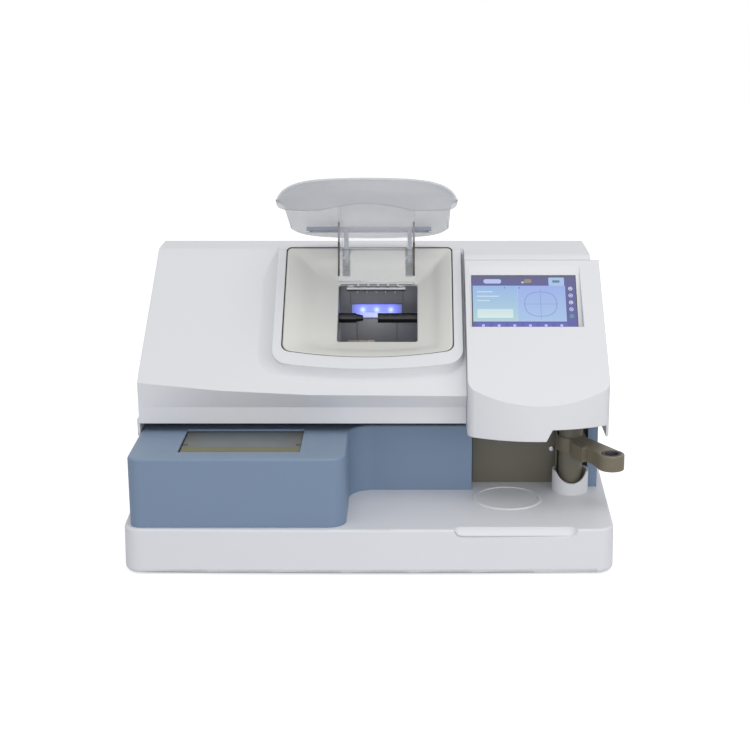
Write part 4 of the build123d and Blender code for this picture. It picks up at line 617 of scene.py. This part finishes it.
def band(cu, cv, ru, rv, thick, power=1.0):
    """A closed thin band round (cu, cv): the curve (ru |cos a|^power, rv |sin a|^power), drawn twice.

    thick is the distance between the two curves, as a share of the screen's width.
    """
    turn = np.linspace(0.0, 2 * math.pi, 48, endpoint=False)
    shape_u = np.sign(np.cos(turn)) * np.abs(np.cos(turn)) ** power
    shape_v = np.sign(np.sin(turn)) * np.abs(np.sin(turn)) ** power
    outer = (cu + ru * shape_u, cv + rv * shape_v)
    inner = (cu + (ru - thick) * shape_u, cv + (rv - thick * SCREEN_WIDE / SCREEN_LONG) * shape_v)
    return outer, inner


picture = []          # (places, faces, colour of each place)


def add_tile(colour, u0, u1, v0, v1, layer, corner=0.0, foot=None):
    """One filled tile. foot is the colour of its lower edge, for a tile that fades downwards."""
    u, v = tile(u0, u1, v0, v1, corner)
    share = (v - v0) / (v1 - v0)
    top, low = np.array(linear(colour)), np.array(linear(foot or colour))
    tints = top + share[:, None] * (low - top)
    picture.append((on_screen(u, v, PICTURE_LIFT + layer * LAYER_STEP), [tuple(range(len(u)))], tints))


def add_band(colour, *shape, layer, **more):
    """One thin closed band, with the arguments that band takes."""
    (ou, ov), (iu, iv) = band(*shape, **more)
    count = len(ou)
    lift = PICTURE_LIFT + layer * LAYER_STEP
    places = on_screen(np.concatenate([ou, iu]), np.concatenate([ov, iv]), lift)
    faces = [(i, (i + 1) % count, count + (i + 1) % count, count + i) for i in range(count)]
    picture.append((places, faces, np.tile(linear(colour), (2 * count, 1))))


# %% Header, its fields and the two panes
NAVY, INK, PALE = (14, 14, 120), (8, 8, 84), (168, 186, 236)
PANE_TOP, PANE_LOW = 0.195, 0.845
add_tile((9, 9, 40), 0.004, 0.996, 0.006, 0.994, 0, corner=0.012)
add_tile(INK, 0.008, 0.992, 0.012, 0.10, 1, foot=NAVY)
add_tile(NAVY, 0.008, 0.992, 0.10, 0.985, 1, foot=(16, 18, 150))
add_tile(PALE, 0.115, 0.285, 0.075, 0.155, 2, corner=0.022)
add_tile((126, 112, 74), 0.505, 0.575, 0.075, 0.145, 2, corner=0.014)
add_tile((206, 200, 176), 0.478, 0.502, 0.12, 0.15, 2, corner=0.006)
add_tile((150, 184, 226), 0.738, 0.888, 0.045, 0.195, 2, corner=0.010)
add_tile((20, 96, 118), 0.775, 0.845, 0.095, 0.14, 3, corner=0.006)
add_tile((128, 168, 222), 0.010, 0.436, PANE_TOP, PANE_LOW, 2, foot=(160, 202, 212))
add_tile((134, 160, 226), 0.440, 0.895, PANE_TOP, PANE_LOW, 2, foot=(150, 186, 226))
add_tile((190, 212, 240), 0.4362, 0.4392, PANE_TOP, PANE_LOW, 3)

# %% Outline of a lens with its cross lines, and bars of the left pane
CROSS, BAR = (104, 118, 200), (206, 224, 240)
LENS_U, LENS_V = 0.655, 0.53
add_band((92, 104, 190), LENS_U, LENS_V, 0.155, 0.225, 0.005, layer=4, power=0.82)
add_tile(CROSS, LENS_U - 0.165, LENS_U + 0.165, LENS_V - 0.003, LENS_V + 0.003, 3)
add_tile(CROSS, LENS_U - 0.002, LENS_U + 0.002, LENS_V - 0.27, LENS_V + 0.27, 3)
for spot_u in (0.315, 0.455):
    add_tile((24, 30, 96), spot_u - 0.006, spot_u + 0.006, 0.225, 0.245, 4, corner=0.004)
for bar_end, bar_top in ((0.20, 0.30), (0.26, 0.38), (0.17, 0.46)):
    add_tile(BAR, 0.05, bar_end, bar_top, bar_top + 0.015, 3)
add_tile((196, 218, 226), 0.05, 0.39, 0.62, 0.78, 3, corner=0.012, foot=(206, 230, 222))

# %% Buttons down the right side and along the bottom
BRIGHT, DIM, GREEN = (226, 232, 250), (206, 214, 246), (60, 170, 90)
BUTTON_U, BUTTON_TOP, BUTTON_STEP = 0.944, 0.25, 0.125
KEY_LEFT, KEY_STEP, KEY_WIDE = 0.045, 0.148, 0.118
for row, colour in enumerate((BRIGHT, DIM, BRIGHT, DIM, GREEN)):
    middle = BUTTON_TOP + BUTTON_STEP * row
    add_band(colour, BUTTON_U, middle, 0.020, 0.034, 0.006, layer=3)
    add_tile(colour, BUTTON_U - 0.008, BUTTON_U + 0.008, middle - 0.010, middle + 0.010, 3, corner=0.003)
for step in range(6):
    left = KEY_LEFT + KEY_STEP * step
    add_tile((36, 42, 176), left, left + KEY_WIDE, 0.872, 0.962, 2, corner=0.012)
    add_tile((178, 190, 240), left + 0.046, left + 0.072, 0.897, 0.937, 3, corner=0.006)

# %% One mesh for the picture
starts = np.cumsum([0] + [len(places) for places, _, _ in picture[:-1]])
all_places = np.concatenate([places for places, _, _ in picture])
all_faces = [tuple(int(start) + i for i in face[::-1])
             for start, (_, faces, _) in zip(starts, picture) for face in faces]
all_tints = np.concatenate([tints for _, _, tints in picture])
picture_mesh = bpy.data.meshes.new("screen_picture")
picture_mesh.from_pydata([tuple(place) for place in all_places], [], all_faces)
layer = picture_mesh.color_attributes.new("tint", "FLOAT_COLOR", "POINT")
layer.data.foreach_set("color", all_tints.astype(np.float32).ravel())
picture_mesh.materials.append(finish["lit_panel"])
screen_picture = bpy.data.objects.new("screen_picture", picture_mesh)
bpy.context.scene.collection.objects.link(screen_picture)
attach(screen_picture, "machine")
print("screen picture:", len(picture), "tiles,", len(all_faces), "faces")

# %% [markdown]
# ## Smooth sheets on a grid
# The pieces that follow are thin curved mouldings. Each is a function of two parameters: one runs round or
# across the piece, the other along it. The function is worked out on a whole grid at once, and one helper
# joins the grid's points into four-sided faces.

# %% From a grid of points to a mesh


def sheet(name, grid, closed, keep=None, thick=0.0, flip=False):
    """Object from a grid of points (rows, columns, 3). closed joins the last column to the first.

    keep is an array of booleans, one for each face, that leaves holes where it is False. thick gives the
    sheet a wall on its inner side, and flip turns its faces round.
    """
    rows, columns = grid.shape[:2]
    across_by = columns if closed else columns - 1
    row, column = np.meshgrid(np.arange(rows - 1), np.arange(across_by), indexing="ij")
    after = (column + 1) % columns
    quads = np.stack([row * columns + column, row * columns + after,
                      (row + 1) * columns + after, (row + 1) * columns + column], axis=-1).reshape(-1, 4)
    if flip:
        quads = quads[:, ::-1]
    if keep is not None:
        quads = quads[keep.ravel()]
    mesh = bpy.data.meshes.new(name)
    mesh.from_pydata(grid.reshape(-1, 3).tolist(), [], quads.tolist())
    mesh.polygons.foreach_set("use_smooth", np.ones(len(quads), bool))
    thing = bpy.data.objects.new(name, mesh)
    bpy.context.scene.collection.objects.link(thing)
    if thick:
        wall = thing.modifiers.new("wall", "SOLIDIFY")
        wall.thickness = thick
        wall.offset = -1.0
    print(name, "faces:", len(quads))
    return thing


# %% [markdown]
# ## The hood
# The hood is one bent sheet of smoked plastic. Its front is a visor: the lower edge bows out and has a grip
# in the middle, a fold runs across above it, and the crest is level in the middle and falls away to both
# ends. Behind the crest the sheet narrows and runs down to the hinge. Heights are measured square to the lid
# and lengths along it, from the hinge pin, and a tilt of 23.2 degrees stands the open lid in the room.

# %% The lid's own directions
tilt = math.radians(23.2)
hinge = np.array([-0.0035, 0.086, 0.3635])
along_lid = np.array([0.0, -math.cos(tilt), math.sin(tilt)])
off_lid = np.array([0.0, math.sin(tilt), math.cos(tilt)])
HOOD_HALF, HOOD_NECK, HOOD_RIM = 0.1205, 0.1125, 0.0202
VISOR_REACH, VISOR_BOW = 0.203, 0.022
END_HEIGHT, CREST_RISE = 0.017, 0.028
LOWER_HEIGHT, GRIP_RISE, GRIP_HALF = 0.0006, 0.0077, 0.062
END_RISE, END_LENGTH = 0.0055, 0.058
FOLD_HEIGHT = 0.0195

# %% Lines of the hood, as functions of s from -1 to 1 across it


def visor_depth(s):
    """Distance of the visor's lower edge from the hinge: an arc, reach - bow x s^2."""
    return VISOR_REACH - VISOR_BOW * s ** 2


def to_ends(height, s, power):
    """The height, led to the ends' height as s nears -1 or 1 by a squared-off ellipse of this power."""
    return END_HEIGHT + (height - END_HEIGHT) * np.sqrt(np.clip(1 - np.abs(s) ** power, 0, 1))


def crest_line(s):
    """Height of the crest: 17 mm at the ends and 45 mm in the middle."""
    return to_ends(END_HEIGHT + CREST_RISE, s, 5.5)


def lower_line(s):
    """Height of the lower edge: a shallow grip in the middle, and ends that turn up to meet the crest."""
    reach = np.abs(s) * HOOD_HALF
    grip = GRIP_RISE * np.clip(1 - (reach / GRIP_HALF) ** 2, 0, 1) ** 1.2
    ends = LOWER_HEIGHT + END_RISE * np.clip((reach - GRIP_HALF) / END_LENGTH, 0, 1) ** 1.6
    return to_ends(grip + ends, s, 24)


def fold_line(s):
    """Height of the fold: nearly level at 20 mm, a little higher in the middle."""
    return to_ends(FOLD_HEIGHT + 0.003 * np.exp(-(s / 0.18) ** 2) + 0.001 * s ** 2, s, 12)


# %% The whole sheet, from the lower edge over the crest to the rear edge
VISOR_LEAN, VISOR_ROUND = 0.005, 0.009
across = np.sin(np.linspace(-math.pi / 2, math.pi / 2, 121))
rise = np.linspace(0.0, 1.0, 9)[:, None]
bent = np.linspace(0.0, 1.0, 13)[1:, None]
back = np.linspace(0.0, 1.0, 41)[1:, None]
front_u = visor_depth(across) + VISOR_LEAN * rise
front_v = lower_line(across) + (fold_line(across) - lower_line(across)) * rise
upper_u = visor_depth(across) + VISOR_LEAN - VISOR_ROUND * bent ** 1.6
upper_v = fold_line(across) + (crest_line(across) - fold_line(across)) * np.sin(bent * math.pi / 2) ** 0.9
rear_u = -0.012 + 0.018 * across ** 2 + 0.030 * across ** 12
rear_v = 0.0139 + 0.0037 * across ** 4
top_u = (visor_depth(across) + VISOR_LEAN - VISOR_ROUND) * (1 - back) + rear_u * back
top_v = crest_line(across) * (1 - back) + rear_v * back
top_half = HOOD_NECK + (HOOD_HALF - HOOD_NECK) * np.exp(-back / 0.04) * np.ones_like(across)
hood_u = np.concatenate([front_u, upper_u, top_u])
hood_v = np.concatenate([front_v, upper_v, top_v])
hood_half = np.concatenate([np.full_like(front_u, HOOD_HALF), np.full_like(upper_u, HOOD_HALF), top_half])
hood_grid = (hinge + np.multiply.outer(hood_half * across, TO_RIGHT)
             + np.multiply.outer(hood_u, along_lid) + np.multiply.outer(hood_v + HOOD_RIM, off_lid))
hood = sheet("hood_sheet", hood_grid, closed=False, thick=0.0024)
hood.data.materials.append(finish["hood_smoke"])
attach(hood, "lid")
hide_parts("lid_hood")

# %% [markdown]
# ## The dish round the chamber
# The dish is a cream moulding that leads from the frame down to the chamber's mouth. Two closed lines bound
# it: the bowed outline of the frame, and the mouth, a rectangle with small corners. Every point between them
# is a mix of the two lines, and the depth follows a curve that starts steep and flattens, so that the light
# turns softly instead of breaking at four corners.

# %% Directions of the frame's sloping face, which stands 15 mm above the housing's slope
slope = math.radians(37.7)
slope_foot = np.array([0.0, -0.0805, 0.25932])
up_slope = np.array([0.0, math.cos(slope), math.sin(slope)])
off_slope = np.array([0.0, -math.sin(slope), math.cos(slope)])


def on_slope(x, y, lift):
    """Places from the coordinates of the frame's face: x to the right, y up the slope, lift square to it."""
    return (slope_foot + np.multiply.outer(x, TO_RIGHT)
            + np.multiply.outer(y, up_slope) + np.multiply.outer(lift, off_slope))


# %% The two closed lines, each cast by rays at the same angles from one middle


def outline(corners, rounding):
    """Closed line through corners, each cut off by a bend of its own size, as 1500 evenly spaced points.

    A bend is a curve of the second degree: (1-q)^2 before + 2q(1-q) corner + q^2 after.
    """
    corners = np.array(corners, float)
    bend = np.linspace(0.0, 1.0, 13)[:, None]
    line = []
    for i, corner in enumerate(corners):
        before, after = corners[i - 1] - corner, corners[(i + 1) % len(corners)] - corner
        before = corner + before / np.linalg.norm(before) * rounding[i]
        after = corner + after / np.linalg.norm(after) * rounding[i]
        line.append((1 - bend) ** 2 * before + 2 * bend * (1 - bend) * corner + bend ** 2 * after)
    line = np.concatenate(line + [line[0][:1]])
    run = np.concatenate([[0.0], np.cumsum(np.linalg.norm(np.diff(line, axis=0), axis=1))])
    even = np.linspace(0.0, run[-1], 1500, endpoint=False)
    return np.stack([np.interp(even, run, line[:, 0]), np.interp(even, run, line[:, 1])], axis=-1)


def cast(angle, middle, line):
    """Distance from middle to a closed line at each angle."""
    away = line - middle
    bearing, length = np.arctan2(away[:, 1], away[:, 0]), np.hypot(away[:, 0], away[:, 1])
    return np.interp(angle, bearing, length, period=2 * math.pi)


def bowed(half, side_y, low_y, clear, count=21):
    """Points of a lower edge: an arc that sinks from side_y to low_y and stops clear of both corners.

    An arc that sinks by h over a half width w has the radius (w^2 + h^2) / 2h.
    """
    radius = (half ** 2 + (side_y - low_y) ** 2) / (2 * (side_y - low_y))
    x = np.linspace(-half + clear, half - clear, count)
    return [(FRAME_X + px, low_y + radius - math.sqrt(radius ** 2 - px ** 2)) for px in x]


FRAME_X = -0.004          # middle of the frame
DISH_HALF, DISH_TOP_HALF, DISH_TOP_Y, DISH_SIDE_Y, DISH_LOW_Y = 0.1163, 0.1168, 0.1983, 0.0138, 0.0018
TOP_BEND, SIDE_BEND, ARC_BEND = 0.0070, 0.0125, 0.0004
MOUTH_HALF, MOUTH_LOW, MOUTH_HIGH, MOUTH_BEND = 0.0560, 0.0453, 0.1502, 0.0040
DISH_EDGE, DISH_SINK = -0.0012, -0.0240
low_arc = bowed(DISH_HALF, DISH_SIDE_Y, DISH_LOW_Y, clear=0.014)
seam_line = outline([(FRAME_X - DISH_TOP_HALF, DISH_TOP_Y), (FRAME_X - DISH_HALF, DISH_SIDE_Y)] + low_arc
                    + [(FRAME_X + DISH_HALF, DISH_SIDE_Y), (FRAME_X + DISH_TOP_HALF, DISH_TOP_Y)],
                    [TOP_BEND, SIDE_BEND] + [ARC_BEND] * len(low_arc) + [SIDE_BEND, TOP_BEND])
mouth_line = outline([(MOUTH_X - MOUTH_HALF, MOUTH_HIGH), (MOUTH_X - MOUTH_HALF, MOUTH_LOW),
                      (MOUTH_X + MOUTH_HALF, MOUTH_LOW), (MOUTH_X + MOUTH_HALF, MOUTH_HIGH)],
                     [MOUTH_BEND] * 4)
turn = np.linspace(0.0, 2 * math.pi, 480, endpoint=False)
middle = np.array([MOUTH_X, 0.0950])          # the rays start here, inside both lines
outer = cast(turn, middle, seam_line)
inner = cast(turn, middle, mouth_line)

# %% Rings from the frame to the mouth, and a short lip down into it
LIP_DROPS = np.array([0.0015, 0.0030, 0.0045])
steps = np.linspace(0.0, 1.0, 37)[:, None]
ease = steps + 0.10 * np.sin(2 * math.pi * steps) * (1 - steps)
radius = outer * (1 - ease) + inner * ease
fall = 0.5 * steps + 0.5 * np.sin(steps * math.pi / 2)
lift = DISH_EDGE + (DISH_SINK - DISH_EDGE) * fall * np.ones_like(turn)
lip_radius = inner * np.ones((len(LIP_DROPS), 1))
lip_lift = DISH_SINK - LIP_DROPS[:, None] * np.ones_like(turn)
radius = np.concatenate([radius, lip_radius])
lift = np.concatenate([lift, lip_lift])
dish_grid = on_slope(middle[0] + radius * np.cos(turn), middle[1] + radius * np.sin(turn), lift)

# %% Leave out the two slots that the lid's arms swing through
ARM_AWAY, SLOT_HALF, SLOT_Y, SLOT_Z = 0.045, 0.0055, 0.054, 0.342
centres = (dish_grid[:-1] + dish_grid[1:]) / 2
at_arm = np.abs(np.abs(centres[..., 0] - MOUTH_X) - ARM_AWAY) < SLOT_HALF
at_back = (centres[..., 1] > SLOT_Y) & (centres[..., 2] > SLOT_Z)
dish = sheet("dish_surface", dish_grid, closed=True, keep=~(at_arm & at_back), thick=0.0016)
dish.data.materials.append(finish["surround_cream"])
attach(dish, "machine")
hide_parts("chamber_surround")

# %% [markdown]
# ### Nozzle tips with painted highlights
# Five pale nozzle tips look out under the mouth's upper edge. The nozzles are real, and their pale white is a
# painted highlight that stands for the glints on them. Each is half a ball: at the angle a up its side it is
# radius x cos(a) wide and radius x sin(a) high.

# %% Nozzle tips, pale as a painted highlight
TIP, TIP_STEP, TIP_BELOW, TIP_UNDER = 0.0019, 0.0141, 0.0014, 0.0012
around = np.linspace(0.0, 2 * math.pi, 20, endpoint=False)
dome = np.linspace(0.0, math.pi / 2, 6)[:, None]
for step in range(-2, 3):
    tip_x = MOUTH_X + TIP_STEP * step + TIP * np.cos(dome) * np.cos(around)
    tip_y = MOUTH_HIGH - TIP_BELOW + TIP * np.cos(dome) * np.sin(around)
    tip_lift = DISH_SINK - TIP_UNDER + TIP * np.sin(dome) * np.ones_like(around)
    tip = sheet("nozzle_tip_painted_highlight_%d" % (step + 3), on_slope(tip_x, tip_y, tip_lift), closed=True)
    # The white finish on the tips is a painted highlight on the nozzles.
    tip.data.materials.append(finish["stage_white"])
    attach(tip, "machine")

# %% [markdown]
# ## Painted edges of the clear guard
# A clear pane is seen by its edges, and here thin strips on the front pane paint them: grey strips of painted
# shade where the side panes meet the hood, darker painted shade lower down where they show against the dish,
# one painted grey line across, and a pale lower rim that is a painted highlight.
# Each is given by its place across the lid and by its heights square to the lid.

# %% Strips of painted shade and highlight on the guard's front pane
PANE_FOOT, PANE_TIP, PANE_LOW_V, PANE_LONG = 0.1340, 0.1475, -0.0620, 0.0886
STRIP_LIFT, STRIP_THICK = 0.0006, 0.0005


def on_pane(x, v, lift):
    """Places on the guard's front pane, which leans from 134 mm at its foot to 147.5 mm at its top."""
    u = PANE_FOOT + (v - PANE_LOW_V) * (PANE_TIP - PANE_FOOT) / PANE_LONG + lift
    return (np.array([0.0, hinge[1], hinge[2]]) + np.multiply.outer(x, TO_RIGHT)
            + np.multiply.outer(u, along_lid) + np.multiply.outer(v, off_lid))


def pane_strip(name, x0, x1, v0, v1, look):
    """One strip on the front pane, from x0 to x1 and from height v0 to v1."""
    x, v = np.meshgrid(np.array([x0, x1]), np.linspace(v0, v1, 4))
    strip = sheet(name, on_pane(x, v, STRIP_LIFT), closed=False, thick=STRIP_THICK)
    strip.data.materials.append(finish[look])
    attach(strip, "lid")


GUARD_HALF, EDGE_WIDE = 0.0520, 0.0026
DARK_LOW, GREY_LOW, GREY_HIGH, LINE_LOW, RIM_HIGH = -0.054, -0.009, 0.018, -0.0196, -0.0604
guard_left, guard_right = MOUTH_X - GUARD_HALF, MOUTH_X + GUARD_HALF
# Dark and grey strips of painted shade stand for the side panes' edges, seen edge-on.
for side, edge, turned in (("left", guard_left, 1), ("right", guard_right, -1)):
    near, far = sorted((edge, edge + turned * EDGE_WIDE))
    pane_strip("guard_edge_painted_shade_dark_" + side, near, far, DARK_LOW, GREY_LOW, "painted_edge_shade_dark")
    pane_strip("guard_edge_painted_shade_grey_" + side, near, far, GREY_LOW, GREY_HIGH, "painted_edge_shade_grey")
# A grey strip of painted shade draws a line across the pane.
pane_strip("guard_painted_shade_line", guard_left + 0.003, guard_right - 0.003, LINE_LOW, LINE_LOW + 0.001, "painted_edge_shade_grey")
# The pale rim is a painted highlight along the pane's polished lower edge.
pane_strip("guard_rim_painted_highlight", guard_left, guard_right, PANE_LOW_V, RIM_HIGH, "stage_white")

# %% [markdown]
# ## The frame's flank
# The frame does not stand on the slope like a block: its left flank falls away in a wide cove, and the cove
# narrows along the lower edge and round to the right. The flank is a strip along the frame's outline. Its
# height at the distance d from the frame is frame height x (1 - d/width)^2, and the width changes on the way.

# %% The frame's outline, from the upper left corner down and round to the upper right one
FRAME_HALF, FRAME_SIDE_Y, FRAME_LOW_Y, FRAME_HEIGHT = 0.1300, -0.0080, -0.0200, 0.0150
FRAME_TOP_HALF, FRAME_TOP_Y, FRAME_BEND = 0.1305, 0.2000, 0.0280
PATH_TOP_Y, SMOOTH = 0.1995, 15
flank_arc = bowed(FRAME_HALF, FRAME_SIDE_Y, FRAME_LOW_Y, clear=0.034, count=41)
frame_line = outline([(FRAME_X - FRAME_TOP_HALF, FRAME_TOP_Y), (FRAME_X - FRAME_HALF, FRAME_SIDE_Y)]
                     + flank_arc
                     + [(FRAME_X + FRAME_HALF, FRAME_SIDE_Y), (FRAME_X + FRAME_TOP_HALF, FRAME_TOP_Y)],
                     [ARC_BEND, FRAME_BEND] + [ARC_BEND] * len(flank_arc) + [FRAME_BEND, ARC_BEND])


def nearest(line, x, y):
    """Number of the point of a line that lies nearest to (x, y)."""
    return np.argmin(np.hypot(line[:, 0] - x, line[:, 1] - y))


edge_path = frame_line[nearest(frame_line, FRAME_X - FRAME_HALF, PATH_TOP_Y):]
edge_path = edge_path[: nearest(edge_path, FRAME_X + FRAME_HALF, PATH_TOP_Y) + 1: 4]
tangent = np.gradient(edge_path, axis=0)
tangent /= np.linalg.norm(tangent, axis=1)[:, None]
outward = np.stack([tangent[:, 1], -tangent[:, 0]], axis=-1)
for axis in (0, 1):          # an average over neighbours turns the corners gently
    padded = np.pad(outward[:, axis], SMOOTH // 2, mode="edge")
    outward[:, axis] = np.convolve(padded, np.ones(SMOOTH) / SMOOTH, mode="valid")
outward /= np.linalg.norm(outward, axis=1)[:, None]

# %% The flank, a strip that runs out and down from that outline
FLANK_LEAST, FLANK_LEFT, FLANK_LOW = 0.0045, 0.0215, 0.0030
FADE_LENGTH, FLANK_TUCK, FLANK_SUNK = 0.05, 0.0006, 0.0005
to_left = np.clip(-outward[:, 0], 0.0, 1.0)
top_fade = np.clip((FRAME_TOP_Y - edge_path[:, 1]) / FADE_LENGTH, 0.0, 1.0) ** 0.6
width = FLANK_LEAST + FLANK_LEFT * to_left ** 1.3 * top_fade + FLANK_LOW * np.clip(-outward[:, 1], 0.0, 1.0)
out_by = np.linspace(0.0, 1.0, 13)[:, None]
flank_x = edge_path[:, 0] + (out_by * width - FLANK_TUCK) * outward[:, 0]
flank_y = edge_path[:, 1] + (out_by * width - FLANK_TUCK) * outward[:, 1]
flank_lift = FRAME_HEIGHT * ((1 - out_by) ** 2 * np.ones_like(width) - 1.0) - FLANK_SUNK
flank = sheet("frame_flank", on_slope(flank_x, flank_y, flank_lift), closed=False, flip=True)
flank.data.materials.append(finish["housing_white"])
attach(flank, "machine")

# %% [markdown]
# ## Knurled ring of the block socket
# The end of the blocker's arm holds a black ring with a knurled edge, so that fingers can turn it. The knurl
# is a ripple of the ring's outer radius: radius = middle radius + ripple x tanh(3 cos(teeth x angle)), where
# the hyperbolic tangent squares off the cosine's round waves.

# %% Ring with teeth: a profile of (radius, height over the socket's top, share of the ripple)
COLUMN_X, COLUMN_Y, ARM_LENGTH, SOCKET_TOP = 0.277, -0.066, 0.09528, 0.145
TEETH, RIPPLE = 30, 0.00045
turn = np.linspace(0.0, 2 * math.pi, 240, endpoint=False)
arm_turn = math.radians(-61.6)
socket_x = COLUMN_X + ARM_LENGTH * math.cos(arm_turn)
socket_y = COLUMN_Y + ARM_LENGTH * math.sin(arm_turn)
ripple = RIPPLE * np.tanh(3.0 * np.cos(TEETH * turn))
profile = [(0.0094, -0.0195, 0.0), (0.0094, -0.0008, 0.0), (0.0100, 0.0000, 0.0), (0.0122, 0.0004, 0.3),
           (0.0127, 0.0000, 1.0), (0.0127, -0.0060, 1.0), (0.0125, -0.0195, 0.0)]
ring_radius = np.array([radius + share * ripple for radius, _, share in profile])
ring_height = np.array([np.full_like(turn, SOCKET_TOP + height) for _, height, _ in profile])
ring_grid = np.stack([socket_x + ring_radius * np.cos(turn), socket_y + ring_radius * np.sin(turn),
                      ring_height], axis=-1)
ring = sheet("socket_knurl", ring_grid, closed=True, flip=True)
ring.data.materials.append(finish["dark_plastic"])
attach(ring, "blocker")
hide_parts("block_socket")
